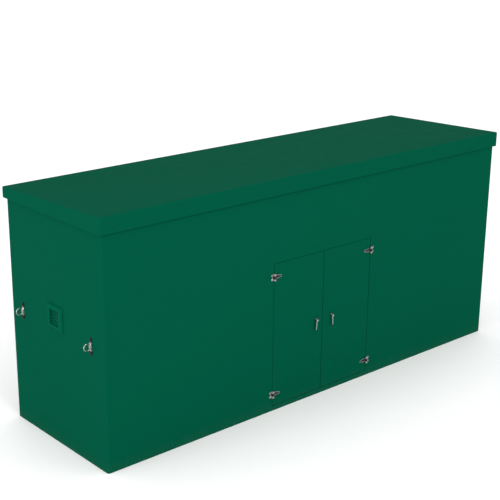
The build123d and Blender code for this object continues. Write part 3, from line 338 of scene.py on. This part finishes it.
finishes = {
    "green_grp": green_gelcoat("green_gelcoat"),
    "green_vent": green_gelcoat("green_vent_plastic", 1.12),
    "foam": foam("insulating_foam"),
    "white_grp": white_laminate("white_laminate"),
    "epdm": rubber("sponge_rubber"),
    "galvanised": galvanised("galvanised_steel"),
    "frame_aluminium": brushed("frame_aluminium", (0.72, 0.73, 0.74), (1, 1, 0.04), 0.3, 0.5,
                               (0.45, 0.46, 0.46), 0.3),
    "stainless": brushed("stainless_steel", (0.86, 0.85, 0.84), (0.15, 1, 1), 0.16, 0.36),
    "zinc_steel": brushed("zinc_plated_steel", (0.68, 0.68, 0.64), (1, 1, 0.1), 0.28, 0.48,
                          (0.42, 0.36, 0.24), 0.4),
    "black_nylon": moulded_black("black_nylon"),
    "epoxy_iron": cast_paint("blue_epoxy_on_iron", (0.012, 0.075, 0.24), 0.4),
    "coated_pipe": cast_paint("bitumen_coated_iron", (0.020, 0.019, 0.020), 0.12, 0.006),
    "red_wheel": cast_paint("red_enamel", (0.42, 0.018, 0.012), 0.5, 0.005, 0.9),
    "steel_stem": turned_stem("turned_steel_stem"),
    "bronze": bronze("cast_bronze"),
    "copper": bronze("copper_tube", (0.70, 0.30, 0.15)),
}
polished = brushed("polished_steel", (0.95, 0.94, 0.92), (1, 1, 1), 0.36, 0.46, share=0.0)
special = {
    "eye_plates": eye_plate_steel("eye_plate_steel"),
    # painted shade: the handle plates get the wall's green darkened by 0.8, for the shade round their edges
    "left_handle_plate": green_gelcoat("green_plate_painted_shade", 0.8),
}
special["right_handle_plate"] = special["left_handle_plate"]
for part in frame["record"]["subparts"]:
    finish = special.get(part["node"], finishes[part["material_slot"]])
    data = nodes[part["node"]].data
    data.materials.clear()
    data.materials.append(finish)


# ================= mesh tools =================
class Maker:
    """Collects shapes into one mesh in the row frame."""

    def __init__(self):
        self.mesh = bmesh.new()

    def lathe(self, centre, axis, profile, sides=24, turn=0.0, hollow=False):
        """A solid of revolution. profile is (distance along the axis, radius) points.
        A hollow one is a ring whose profile closes on itself."""
        turn_to = Vector((0, 0, 1)).rotation_difference(Vector(axis)).to_matrix()
        rings = []
        for along, radius in profile:
            ring = []
            for number in range(sides):
                angle = turn + 2 * math.pi * number / sides
                spot = Vector((radius * math.cos(angle), radius * math.sin(angle), along))
                ring.append(self.mesh.verts.new(Vector(centre) + turn_to @ spot))
            rings.append(ring)
        for low, high in zip(rings, rings[1:]):
            self.bridge(low, high)
        if hollow:
            self.bridge(rings[-1], rings[0])
        else:
            self.mesh.faces.new(rings[0][::-1])
            self.mesh.faces.new(rings[-1])

    def bridge(self, low, high):
        """A band of faces between two rings."""
        count = len(low)
        for number in range(count):
            after = (number + 1) % count
            self.mesh.faces.new((low[number], low[after], high[after], high[number]))

    def tube(self, path, radii, sides=14, flat=1.0, closed=False):
        """A round or flattened bar through points; flat squeezes it across its plane."""
        points = [Vector(point) for point in path]
        side_axis = None
        rings = []
        for number, point in enumerate(points):
            before = points[number - 1] if number or closed else point
            last = number + 1 == len(points)
            after = point if last and not closed else points[(number + 1) % len(points)]
            ahead = (after - before).normalized()
            if side_axis is None:
                side_axis = ahead.orthogonal().normalized()
                if abs(ahead.y) < 0.9:
                    side_axis = (Vector((0, 1, 0)) - ahead * ahead.y).normalized()
            side_axis = (side_axis - ahead * side_axis.dot(ahead)).normalized()
            other = ahead.cross(side_axis)
            radius = radii[number] if isinstance(radii, (list, tuple)) else radii
            ring = []
            for step in range(sides):
                angle = 2 * math.pi * step / sides
                spot = side_axis * (flat * math.cos(angle)) + other * math.sin(angle)
                ring.append(self.mesh.verts.new(point + spot * radius))
            rings.append(ring)
        for low, high in zip(rings, rings[1:]):
            self.bridge(low, high)
        if closed:
            self.bridge(rings[-1], rings[0])
        else:
            self.mesh.faces.new(rings[0][::-1])
            self.mesh.faces.new(rings[-1])

    def slab(self, low, high):
        """A box between two corners."""
        centre = (Vector(low) + Vector(high)) / 2
        size = Vector(high) - Vector(low)
        made = bmesh.ops.create_cube(self.mesh, size=1.0)
        bmesh.ops.scale(self.mesh, vec=size, verts=made["verts"])
        bmesh.ops.translate(self.mesh, vec=centre, verts=made["verts"])

    def prism(self, outline, normal, thickness):
        """A plate whose outline is a list of points, thickened along normal."""
        low = [self.mesh.verts.new(Vector(point)) for point in outline]
        high = [self.mesh.verts.new(Vector(point) + Vector(normal) * thickness)
                for point in outline]
        self.bridge(low, high)
        self.mesh.faces.new(low[::-1])
        self.mesh.faces.new(high)

    def done(self, name, slot, body, bevel=0.0, segments=2, smooth=40, material=None):
        """Turn the collected shapes into one piece that rides on a body."""
        bmesh.ops.recalc_face_normals(self.mesh, faces=self.mesh.faces)
        data = bpy.data.meshes.new(name)
        self.mesh.to_mesh(data)
        self.mesh.free()
        piece = bpy.data.objects.new(name, data)
        bpy.context.scene.collection.objects.link(piece)
        data.materials.append(material or finishes[slot])
        data.shade_smooth()
        if bevel:
            edge = piece.modifiers.new("rounded edges", "BEVEL")
            edge.width = bevel
            edge.segments = segments
            edge.limit_method = "ANGLE"
            edge.angle_limit = math.radians(35)
        data.set_sharp_from_angle(angle=math.radians(smooth))
        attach(piece, body)
        return piece


def pan_screw(maker, centre, axis, radius, height):
    """A domed screw head with a hexagon socket."""
    socket = 0.5 * radius
    maker.lathe(centre, axis, [
        (0, radius), (0.35 * height, radius), (0.75 * height, 0.88 * radius),
        (height, 0.62 * radius), (height, socket + 0.0001),
    ])
    maker.lathe(Vector(centre) + Vector(axis) * (0.3 * height), axis,
                [(0, 0.3 * socket), (0.1 * height, 0.4 * socket)], 6)


def hexagon_nut(maker, centre, axis, radius, height, stud=None):
    """A chamfered nut on a washer, with the end of its stud."""
    maker.lathe(centre, axis, [(0, 1.18 * radius), (0.12 * height, 1.18 * radius)], 28)
    nut = Vector(centre) + Vector(axis) * (0.12 * height)
    maker.lathe(nut, axis, [(0, radius), (0.82 * height, radius), (height, 0.87 * radius)], 6)
    end = stud or 0.55 * radius
    maker.lathe(nut, axis, [(0, end), (1.3 * height, end), (1.38 * height, 0.8 * end)], 18)


def on_circle(centre, axis, radius, count, start=0.0):
    """Points evenly round a circle."""
    turn_to = Vector((0, 0, 1)).rotation_difference(Vector(axis)).to_matrix()
    for number in range(count):
        angle = math.radians(start) + 2 * math.pi * number / count
        spot = Vector((radius * math.cos(angle), radius * math.sin(angle), 0))
        yield Vector(centre) + turn_to @ spot


# ================= hinges =================
LEAF = 0.0035  # thickness of the hinge's plates
HINGE = 0.046  # height of a hinge
PIN_HEAD = 0.002  # a pin stands this far out of its hinge
SCREW_HEAD = 0.0018  # height of a screw's head
pins_low, pins_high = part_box("hinge_pins")
hinge_levels = (pins_low.z + HINGE / 2, pins_high.z - PIN_HEAD - HINGE / 2)


def make_hinge_screws():
    """A bright screw in each arm of a hinge's wall leaf."""
    screws = Maker()
    outward, arm, radius = 0.0232, 0.0130, 0.0034
    for name, side in SIDES.items():
        x = joint_at[f"{name}_door_hinge"]["pos_m"][0]
        for level in hinge_levels:
            for up in (-arm, arm):
                spot = (x + side * outward, front_y - LEAF, level + up)
                pan_screw(screws, spot, (0, -1, 0), radius, SCREW_HEAD)
    screws.done("hinge_leaf_screws", "stainless", ROOT)


def make_strap_details(name, side):
    """A thin black sheet painted as the shade in the middle of each strap, between its bright edges, with two
    black screws.
    """
    shade_sheet, screws = Maker(), Maker()
    x, face_y, thickness = joint_at[f"{name}_door_hinge"]["pos_m"][0], front_y - LEAF, 0.0005
    root, root_half, tip, tip_half = 0.0175, 0.0108, 0.0610, 0.0040
    for level in hinge_levels:
        outline = [(x - side * inward, face_y, level + up)
                   for inward, up in ((root, -root_half), (tip, -tip_half),
                                      (tip, tip_half), (root, root_half))]
        # painted shade: this black sheet stands for the shade in the strap's pressed middle
        shade_sheet.prism(outline, (0, -1, 0), thickness)
        for inward in (0.0265, 0.0505):
            spot = (x - side * inward, face_y - thickness, level)
            pan_screw(screws, spot, (0, -1, 0), 0.0036, SCREW_HEAD)
    shade_sheet.done(f"{name}_strap_shade_sheets", "black_nylon", f"{name}_door", bevel=0.0002)
    screws.done(f"{name}_strap_screws", "black_nylon", f"{name}_door")


def make_knuckle_shade_sleeves(name):
    """A black sleeve over the middle knuckle of each hinge, which paints the knuckle's shadow and dark reflection.
    """
    sleeves = Maker()
    x, y, _ = joint_at[f"{name}_door_hinge"]["pos_m"]
    half, bore, radius, rounding = 0.0108, 0.0082, 0.0088, 0.0004
    profile = [
        (-half, bore), (-half, radius - 0.0003), (rounding - half, radius),
        (half - rounding, radius), (half, radius - 0.0003), (half, bore),
    ]
    for level in hinge_levels:
        sleeves.lathe((x, y, level), (0, 0, 1), profile, 36, hollow=True)
    # painted shadow and dark reflection: the sleeves are black so the knuckle reads dark
    sleeves.done(f"{name}_hinge_shade_sleeves", "black_nylon", f"{name}_door")


# ================= handles =================
KNOB_DROP = 0.006  # the knob sits this far below the spindle


def make_lever(name, side):
    """A swan neck that stands out of the door to a knob, and a flattened grip below it."""
    x, _, z = joint_at[f"{name}_handle_turn"]["pos_m"]
    low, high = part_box(f"{name}_handle")
    spindle, knob = 0.005, 0.0075
    knob_y, knob_z = low.y + knob, z - KNOB_DROP
    lever, crown = Maker(), Maker()
    lever.lathe((x, high.y, z), (0, -1, 0),
                [(0, spindle - 0.0008), (0.0008, spindle),
                 (high.y - front_y + 0.0032, spindle)], 32)

    neck_y = front_y - 0.0036
    neck = [(x, neck_y - out, z - drop) for out, drop in (
        (0, 0), (0.0022, 0), (0.0050, 0.0006), (0.0090, 0.0022))]
    neck += [(x, knob_y + 0.0030, knob_z + 0.0010), (x, knob_y, knob_z)]
    crown.tube(neck, [0.0060, 0.0058, 0.0052, 0.0048, 0.0052, 0.0058], 24)
    turns = [math.radians(-84 + 12 * step) for step in range(15)]
    crown.lathe((x, knob_y, knob_z), (0, -1, 0),
                [(knob * math.sin(turn), max(0.0006, knob * math.cos(turn))) for turn in turns], 32)
    crown.done(f"{name}_lever_neck_and_knob", "stainless", f"{name}_handle_and_disc",
               material=polished)

    grip_y, bow, outward = front_y - 0.017, 0.0012, side * 0.006
    path, radii = [], []
    for share, radius in ((0.0, 0.0046), (0.10, 0.0049), (0.30, 0.0046), (0.55, 0.0041),
                          (0.80, 0.0038), (0.93, 0.0040), (0.975, 0.0034), (0.995, 0.0018)):
        path.append((x + outward * share, grip_y - bow * math.sin(math.pi * share),
                     knob_z + (low.z - knob_z) * share))
        radii.append(radius)
    lever.tube(path, radii, 20, flat=0.62)
    made = lever.done(f"{name}_lever_handle", "stainless", f"{name}_handle_and_disc")
    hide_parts(f"{name}_handle")


def make_plate_trim(name):
    """Two black screws in a handle's plate and the collar round its spindle."""
    x, _, z = joint_at[f"{name}_handle_turn"]["pos_m"]
    low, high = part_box(f"{name}_handle_plate")
    trim = Maker()
    for level in (low.z + 0.0085, high.z - 0.0060):
        pan_screw(trim, ((low.x + high.x) / 2, low.y, level), (0, -1, 0), 0.0036, SCREW_HEAD)
    bore, radius, height = 0.0063, 0.0084, 0.0014
    trim.lathe((x, low.y, z), (0, -1, 0), [
        (0, bore), (0, radius), (0.0008, radius), (height, radius - 0.0008), (height, bore),
    ], 32, hollow=True)
    trim.done(f"{name}_plate_screws_and_collar", "black_nylon", f"{name}_door")


def make_guide_screws(name, side):
    """Four small screws in each guide of the two rods."""
    spindle_x = joint_at[f"{name}_handle_turn"]["pos_m"][0]
    face_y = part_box(f"{name}_rod_guides")[1].y
    rod_offset, half_x, half_z = 0.014, 0.0085, 0.0082
    heads = Maker()
    for rod_x, levels in ((spindle_x - side * rod_offset, (0.200, 0.440)),
                          (spindle_x + side * rod_offset, (0.720, 0.930))):
        for level in levels:
            for across in (-half_x, half_x):
                for up in (-half_z, half_z):
                    pan_screw(heads, (rod_x + across, face_y, level + up), (0, 1, 0),
                              0.0021, 0.0012)
    heads.done(f"{name}_guide_screws", "zinc_steel", f"{name}_door")


def make_spindle_nut(name):
    """A thin nut and washer on the inner end of a handle's spindle."""
    x, _, z = joint_at[f"{name}_handle_turn"]["pos_m"]
    end_y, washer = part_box(f"{name}_handle")[1].y, 0.0005
    nut = Maker()
    nut.lathe((x, end_y, z), (0, 1, 0), [(0, 0.0075), (washer, 0.0075)], 24)
    nut.lathe((x, end_y + washer, z), (0, 1, 0),
              [(0, 0.0055), (0.0020, 0.0055), (0.0024, 0.0048)], 6)
    nut.done(f"{name}_spindle_nut", "zinc_steel", f"{name}_handle_and_disc")


def make_liner_rivets(name):
    """Domed rivets round the edge of a door's liner."""
    low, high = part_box(f"{name}_door_liner")
    inset, rows, columns = 0.022, 8, 3
    left, foot = low.x + inset, low.z + inset
    width, height = high.x - low.x - 2 * inset, high.z - low.z - 2 * inset
    spots = [(left + across, foot + height * number / rows)
             for number in range(rows + 1) for across in (0, width)]
    spots += [(left + width * number / columns, foot + up)
              for number in range(1, columns) for up in (0, height)]
    rivets = Maker()
    for x, z in spots:
        rivets.lathe((x, high.y, z), (0, 1, 0),
                     [(0, 0.0040), (0.0007, 0.0037), (0.0013, 0.0022), (0.0015, 0.0006)], 14)
    rivets.done(f"{name}_liner_rivets", "white_grp", f"{name}_door")


def make_edge_trims(name, side):
    """Green soft strips in the gaps round a leaf, a little behind its face. The left
    leaf's strip closes the middle gap for both."""
    low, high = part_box(f"{name}_door_skin")
    outer = max(low.x, high.x, key=abs)
    inner = min(low.x, high.x, key=abs)
    wide, near, far = 0.0034, front_y + 0.0025, front_y + 0.0065
    strips = Maker()

    def strip(x_span, z_span):
        strips.slab((min(x_span), near, min(z_span)), (max(x_span), far, max(z_span)))

    strip((outer, outer + side * wide), (low.z, high.z))
    strip((inner, outer), (high.z, high.z + wide))
    strip((inner, outer), (low.z - wide, low.z))
    if side < 0:
        strip((inner, inner - side * wide), (low.z, high.z))
    strips.done(f"{name}_edge_trims", "green_grp", f"{name}_door", bevel=0.0008)


make_hinge_screws()
for name, side in SIDES.items():
    make_edge_trims(name, side)
    make_strap_details(name, side)
    make_knuckle_shade_sleeves(name)
    make_lever(name, side)
    make_plate_trim(name)
    make_guide_screws(name, side)
    make_spindle_nut(name)
    make_liner_rivets(name)


# ================= eye plates and vents =================
def make_eye_fittings():
    """A bright bridge that holds each ring, and a black bolt at each end of its plate."""
    bridges, bolts = Maker(), Maker()
    half_arch = ((0.0118, 0.0), (0.0113, 0.007), (0.0085, 0.014), (0.0052, 0.021),
                 (0.0050, 0.027))
    arch = [(out, -up) for out, up in reversed(half_arch[1:])] + list(half_arch)
    plate, bolt_reach, washer = 0.004, 0.0445, 0.0012
    for name, side in SIDES.items():
        wall_x = side * end_x
        for place in ("front", "back"):
            eye = Vector(mount_at[f"{name}_{place}_sling_eye"]["pos_m"])
            path = [(wall_x + side * out, eye.y, eye.z + up) for out, up in arch]
            bridges.tube(path, 0.0016, 16, flat=5.6)
            for up in (-bolt_reach, bolt_reach):
                spot = Vector((wall_x + side * plate, eye.y, eye.z + up))
                bolts.lathe(spot, (side, 0, 0), [(0, 0.0095), (washer, 0.0095)], 24)
                bolts.lathe(spot + Vector((side * washer, 0, 0)), (side, 0, 0),
                            [(0, 0.0078), (0.0042, 0.0078), (0.0052, 0.0066)], 6)
    bridges.done("eye_bridges", "stainless", ROOT)
    bolts.done("eye_bolts", "black_nylon", ROOT, bevel=0.0003)


def make_vent_fittings():
    """An insect screen of fine wire behind the louvres, and the frame's corner screws."""
    screens, screws = Maker(), Maker()
    vent_low, vent_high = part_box("end_vents")
    centre_z = (vent_low.z + vent_high.z) / 2
    half_y, half_z, wire, pitch = 0.0485, 0.0505, 0.0007, 0.005
    recess, screw_y, screw_z = 0.0035, 0.0615, 0.0595
    for side in SIDES.values():
        screen_x = side * (end_x - recess)
        for number in range(-9, 10):
            y = number * pitch
            screens.slab((screen_x - wire, y - wire, centre_z - half_z),
                         (screen_x + wire, y + wire, centre_z + half_z))
        for number in range(-9, 11):
            z = centre_z + (number - 0.5) * pitch
            screens.slab((screen_x - wire, -half_y, z - wire),
                         (screen_x + wire, half_y, z + wire))
        face_x = vent_high.x if side > 0 else vent_low.x
        for y in (-screw_y, screw_y):
            for up in (-screw_z, screw_z):
                pan_screw(screws, (face_x, y, centre_z + up), (side, 0, 0), 0.0032, 0.0012)
    screens.done("vent_insect_screens", "zinc_steel", ROOT)
    screws.done("vent_screws", "green_vent", ROOT)


def make_eaves_bead():
    """A dark bead of sealant where the walls enter the roof cap."""
    bead = Maker()
    eaves_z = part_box("roof_cap")[0].z
    radius, corner, steps = 0.0022, 0.015, 6
    path = []
    for turn, (sx, sy) in enumerate(((1, 1), (-1, 1), (-1, -1), (1, -1))):
        cx, cy = sx * (end_x - corner), sy * (-front_y - corner)
        for step in range(steps + 1):
            angle = math.pi / 2 * (turn + step / steps)
            path.append((cx + corner * math.cos(angle), cy + corner * math.sin(angle), eaves_z))
    bead.tube(path, radius, 8, closed=True)
    bead.done("eaves_sealant", "epdm", ROOT)


make_eye_fittings()
make_vent_fittings()
make_eaves_bead()


# ================= valve train =================
PIPE_Z = 0.480  # height of the pipe's axis
spring_low, spring_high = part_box("relief_spring")
relief_y = (spring_low.y + spring_high.y) / 2


def make_wheel(name):
    """A dished handwheel with a scalloped rim, on its bronze sleeve."""
    joint = joint_at[f"{name}_handwheel_turn"]["pos_m"]
    x, level = joint[0], joint[2]
    low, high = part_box(f"{name}_handwheel")
    steps, lobes, rim_half, lobe_rise = 120, 20, 0.0104, 0.0006
    rim_radius = (high.x - low.x) / 2 - rim_half - lobe_rise
    wheel = Maker()
    path, radii = [], []
    for step in range(steps):
        angle = 2 * math.pi * step / steps
        path.append((x + rim_radius * math.cos(angle), rim_radius * math.sin(angle), level))
        radii.append(rim_half + lobe_rise * math.cos(lobes * angle))
    wheel.tube(path, radii, 14, closed=True)
    spoke_start, spokes = 0.026, 5
    for number in range(spokes):
        angle = math.pi / 2 + 2 * math.pi * number / spokes
        spoke, widths = [], []
        for share, width in ((0.0, 0.0098), (0.12, 0.0082), (0.5, 0.0066), (0.85, 0.0070),
                             (1.0, 0.0088)):
            reach = spoke_start + (rim_radius - spoke_start) * share
            dip = 0.004 * math.sin(math.pi * share)
            spoke.append((x + reach * math.cos(angle), reach * math.sin(angle), level - dip))
            widths.append(width)
        wheel.tube(spoke, widths, 14)
    bore, hub_foot, hub_top = 0.0162, level - 0.0197, high.z
    wheel.lathe((x, 0, 0), (0, 0, 1), [
        (hub_foot, bore), (hub_foot, 0.031), (hub_foot + 0.002, 0.0335),
        (level + 0.006, 0.0335), (hub_top - 0.003, 0.028), (hub_top - 0.001, 0.0265),
        (hub_top, 0.024), (hub_top, bore),
    ], 40, hollow=True)
    made = wheel.done(f"{name}_wheel", "red_wheel", f"{name}_handwheel")
    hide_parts(f"{name}_handwheel")

    sleeve = Maker()
    collar_foot, collar_top = low.z, low.z + 0.012
    sleeve.lathe((x, 0, 0), (0, 0, 1), [
        (collar_foot, bore), (collar_foot, 0.030), (collar_foot + 0.0015, 0.0318),
        (collar_top, 0.0318), (collar_top, 0.0258), (hub_foot, 0.0258), (hub_foot, bore),
    ], 40, hollow=True)
    sleeve.lathe((x, 0, 0), (0, 0, 1), [
        (hub_top, 0.0164), (hub_top, 0.0235), (hub_top + 0.006, 0.0235), (hub_top + 0.008, 0.0215),
        (hub_top + 0.008, 0.0164),
    ], 6, hollow=True)
    sleeve.done(f"{name}_yoke_sleeve", "bronze", f"{name}_handwheel", smooth=30)


def make_stem(name, side):
    """A stem with a thread cut into its upper part, and the gate that it lifts."""
    x, _, level = joint_at[f"{name}_handwheel_turn"]["pos_m"]
    low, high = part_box(f"{name}_stem")
    gate_radius, gate_half = (high.y - low.y) / 2, (high.x - low.x) / 2
    gate_z = low.z + gate_radius
    half = [(0.003, 0.60 * gate_radius), (0.0006, 0.64 * gate_radius), (0, 0.66 * gate_radius),
            (0, gate_radius - 0.003), (0.0008, gate_radius - 0.0008), (0.003, gate_radius)]
    stem = Maker()
    stem.lathe((x, 0, gate_z), (1, 0, 0),
               [(inward - gate_half, radius) for inward, radius in half]
               + [(gate_half - inward, radius) for inward, radius in reversed(half)], 64)

    crest, depth, chamfer, sides = 0.016, 0.0017, 0.003, 28
    plain_step, thread_step = 0.02, 0.001
    thread_foot = level - THREAD_DROP
    levels = [gate_z + gate_radius - plain_step, thread_foot - plain_step]
    while levels[-1] < high.z - 1.5 * thread_step:
        plain = levels[-1] < thread_foot - thread_step
        levels.append(levels[-1] + (plain_step if plain else thread_step))
    levels.append(high.z)
    rows = []
    for z in levels:
        row = []
        for step in range(sides):
            angle = 2 * math.pi * step / sides
            turn = math.atan2(math.sin(angle), side * math.cos(angle)) / (2 * math.pi)
            from_crest = abs((z / THREAD_PITCH + turn) % 1 - 0.5)
            cut = min(1.0, max(0.0, (from_crest - 0.17) / 0.13)) if z > thread_foot else 0.0
            radius = crest - depth * cut - max(0.0, z - (high.z - chamfer))
            row.append(stem.mesh.verts.new((x + radius * math.cos(angle),
                                            radius * math.sin(angle), z)))
        rows.append(row)
    for below, above in zip(rows, rows[1:]):
        stem.bridge(below, above)
    stem.mesh.faces.new(rows[0][::-1])
    stem.mesh.faces.new(rows[-1])
    made = stem.done(f"{name}_threaded_stem", "steel_stem", f"{name}_stem", smooth=32)
    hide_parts(f"{name}_stem")


def make_gland(name):
    """The packing follower round a stem, with its two studs and nuts."""
    x = joint_at[f"{name}_handwheel_turn"]["pos_m"][0]
    gland_z, stud_z, stud_y = PIPE_Z + 0.397, PIPE_Z + 0.349, 0.043
    bore, collar, stud = 0.0163, 0.0250, 0.005
    follower, bolts = Maker(), Maker()
    follower.lathe((x, 0, gland_z), (0, 0, 1), [
        (0, bore), (0, collar), (0.006, collar), (0.010, 0.0205), (0.010, bore),
    ], 32, hollow=True)
    follower.done(f"{name}_gland_follower", "bronze", ROOT, smooth=30)
    for y in (-stud_y, stud_y):
        bolts.lathe((x, y, stud_z), (0, 0, 1), [(0, stud), (0.062, stud), (0.064, 0.0038)], 16)
        hexagon_nut(bolts, (x, y, gland_z), (0, 0, 1), 0.0092, 0.009, stud)
    bolts.done(f"{name}_gland_bolts", "zinc_steel", ROOT, smooth=30)


def make_relief_bolts():
    """The nuts on both sides of the relief valve's cover and of its branch flange."""
    bolts = Maker()
    body_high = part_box("relief_body")[1]
    cover_circle, branch_circle, behind, ahead = 0.080, 0.0615, 0.014, 0.017
    for spot in on_circle((0, relief_y, body_high.z), (0, 0, 1), cover_circle, 8, 22.5):
        hexagon_nut(bolts, spot + Vector((0, 0, ahead)), (0, 0, 1), 0.0092, 0.0085)
        hexagon_nut(bolts, spot - Vector((0, 0, behind)), (0, 0, -1), 0.0092, 0.0085)
    for spot in on_circle((0, body_high.y, PIPE_Z), (0, 1, 0), branch_circle, 4, 45):
        hexagon_nut(bolts, spot - Vector((0, behind, 0)), (0, -1, 0), 0.0085, 0.0080)
        hexagon_nut(bolts, spot + Vector((0, ahead, 0)), (0, 1, 0), 0.0085, 0.0080)
    bolts.done("relief_valve_bolts", "zinc_steel", ROOT, smooth=30)


def make_spring():
    """The relief valve's coil spring, built at one length; the real one shortens as the piston comes down on it.
    """
    wire, turns, steps = 0.0024, 5, 180
    length = spring_high.z - spring_low.z
    coil_radius = (spring_high.x - spring_low.x) / 2 - wire
    path = []
    for step in range(steps + 1):
        angle = 2 * math.pi * turns * step / steps
        path.append((coil_radius * math.cos(angle), relief_y + coil_radius * math.sin(angle),
                     spring_low.z + wire + (length - 2 * wire) * step / steps))
    spring = Maker()
    spring.tube(path, wire, 12)
    made = spring.done("relief_coil_spring", "zinc_steel", ROOT)
    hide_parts("relief_spring")
    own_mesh(made)


def make_line_fittings():
    """Compression nuts and ferrules at both ends of the sensing line."""
    fittings = Maker()
    bore, tube_half = 0.0052, 0.005
    nut = [(0, bore), (0, 0.0100), (0.011, 0.0100), (0.013, 0.0085), (0.013, bore)]
    ferrule = [(0.013, bore), (0.013, 0.0072), (0.017, 0.0068), (0.018, bore)]
    cover_end = (0, relief_y, PIPE_Z + 0.116)
    body_end = (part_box("sensing_line")[0].x + tube_half, -0.140, PIPE_Z)
    for centre, axis in ((cover_end, (0, 0, 1)), (body_end, (0, -1, 0))):
        fittings.lathe(centre, axis, nut, 6, hollow=True)
        fittings.lathe(centre, axis, ferrule, 20, hollow=True)
    fittings.done("sensing_line_fittings", "bronze", ROOT, smooth=30)


def make_cover_details():
    """A lifting eye and a blank rating plate on each check valve cover."""
    eyes, plates = Maker(), Maker()
    top_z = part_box("valve_covers")[1].z
    ring_radius, ring_up, ring_wire, steps = 0.015, 0.030, 0.0048, 28
    plate_y, half_length, half_width, thickness = -0.069, 0.034, 0.019, 0.0010
    rivet_x = 0.029
    for chamber_x in (-0.300, 0.300):
        eyes.lathe((chamber_x, 0, top_z - 0.001), (0, 0, 1), [
            (0, 0.017), (0.003, 0.017), (0.005, 0.012), (0.012, 0.008), (0.016, 0.007),
        ], 24)
        angles = [2 * math.pi * step / steps for step in range(steps)]
        eyes.tube([(chamber_x + ring_radius * math.cos(angle), 0,
                    top_z + ring_up + ring_radius * math.sin(angle)) for angle in angles],
                  ring_wire, 12, closed=True)
        plates.slab((chamber_x - half_length, plate_y - half_width, top_z - 0.0002),
                    (chamber_x + half_length, plate_y + half_width, top_z + thickness))
        for x in (chamber_x - rivet_x, chamber_x + rivet_x):
            plates.lathe((x, plate_y, top_z + thickness), (0, 0, 1),
                         [(0, 0.0024), (0.0008, 0.0020), (0.0012, 0.0008)], 12)
    eyes.done("cover_eye_bolts", "zinc_steel", ROOT)
    plates.done("cover_rating_plates", "bronze", ROOT, bevel=0.0003)


def make_flow_arrows():
    """A raised arrow on each gate valve's body, pointing to the outlet."""
    arrows = Maker()
    face_y, height = -0.1155, 0.0028
    shaft, head, shaft_half, head_half = 0.045, 0.072, 0.006, 0.016
    for tail_x in (-0.660, 0.570):
        outline = [(0, -shaft_half), (shaft, -shaft_half), (shaft, -head_half), (head, 0),
                   (shaft, head_half), (shaft, shaft_half), (0, shaft_half)]
        arrows.prism([(tail_x + along, face_y, PIPE_Z + up) for along, up in outline],
                     (0, -1, 0), height)
    arrows.done("flow_arrows", "epoxy_iron", ROOT, bevel=0.0008)


def make_stand_bolts():
    """Anchor nuts at the corners of the stands' feet."""
    bolts = Maker()
    stand_x, corner, foot_z = 0.560, 0.062, 0.008
    for x in (-stand_x, stand_x):
        for across in (-corner, corner):
            for y in (-corner, corner):
                hexagon_nut(bolts, (x + across, y, foot_z), (0, 0, 1), 0.0092, 0.0085)
    bolts.done("stand_anchor_nuts", "galvanised", ROOT, smooth=30)


for name, side in GATES.items():
    make_wheel(name)
    make_stem(name, side)
    make_gland(name)
make_relief_bolts()
make_spring()
make_line_fittings()
make_cover_details()
make_flow_arrows()
make_stand_bolts()


# ================= camera, lights and floor =================
def set_camera():
    """The photograph's view: from above the left end, slightly rolled."""
    data = bpy.data.cameras.new("camera")
    data.sensor_width = 36.0
    data.lens = 82.04
    data.clip_end = 200.0
    camera = bpy.data.objects.new("camera", data)
    bpy.context.scene.collection.objects.link(camera)
    azimuth, elevation, roll = (math.radians(angle) for angle in (-41.53, 18.03, 0.58))
    back = Vector((math.sin(azimuth) * math.cos(elevation),
                   -math.cos(azimuth) * math.cos(elevation), math.sin(elevation)))
    camera.rotation_mode = "QUATERNION"
    aim = (-back).to_track_quat("-Z", "Y")
    camera.rotation_quaternion = aim @ Matrix.Rotation(roll, 3, "Z").to_quaternion()
    near_corner = Vector((wall_low.x, front_y, 0))
    camera.location = near_corner + Vector((-3.407, -5.107, 3.404))
    bpy.context.scene.camera = camera


def soft_light(name, place, target, size, power):
    """A large square lamp aimed at a point."""
    data = bpy.data.lights.new(name, "AREA")
    data.shape = "SQUARE"
    data.size = size
    data.energy = power
    lamp = bpy.data.objects.new(name, data)
    bpy.context.scene.collection.objects.link(lamp)
    lamp.location = place
    lamp.rotation_mode = "QUATERNION"
    lamp.rotation_quaternion = (Vector(target) - Vector(place)).to_track_quat("-Z", "Y")


def set_world():
    """Even white light from all round, dimmer where a shiny surface mirrors it."""
    world = bpy.data.worlds.new("studio")
    bpy.context.scene.world = world
    world.use_nodes = True
    tree = world.node_tree
    background = tree.nodes["Background"]
    background.inputs["Color"].default_value = (1, 1, 1, 1)
    rays = tree.nodes.new("ShaderNodeLightPath")
    ambient, level = 1.12, None
    for ray, strength in (("Is Glossy Ray", 0.42), ("Is Camera Ray", 1.0)):
        choice = tree.nodes.new("ShaderNodeMix")
        choice.inputs[2].default_value = ambient
        choice.inputs[3].default_value = strength
        if level is not None:
            tree.links.new(level, choice.inputs[2])
        tree.links.new(rays.outputs[ray], choice.inputs["Factor"])
        level = choice.outputs[0]
    tree.links.new(level, background.inputs["Strength"])
    bpy.context.scene.view_settings.view_transform = "Standard"


def set_floor():
    """A wide pale floor just under the object, which shiny surfaces don't mirror."""
    mesh = bmesh.new()
    bmesh.ops.create_grid(mesh, x_segments=1, y_segments=1, size=60)
    data = bpy.data.meshes.new("floor")
    mesh.to_mesh(data)
    mesh.free()
    floor = bpy.data.objects.new("floor", data)
    bpy.context.scene.collection.objects.link(floor)
    paper = Finish("pale_floor", 0.9, specular=0.0)
    paper.colour(paper.blend(paper.noise(0.5, 3.0), (0.95, 0.95, 0.95), (0.97, 0.97, 0.97)))
    data.materials.append(paper.material)
    floor.location.z = -0.0005
    floor.visible_glossy = False


set_camera()
set_world()
soft_light("key", (-2.5, -9.0, 8.5), (0, 0, 0.7), 3.0, 300)
soft_light("end_fill", (-11.0, 0.5, 3.0), (wall_low.x, 0, 0.8), 3.0, 220)
set_floor()
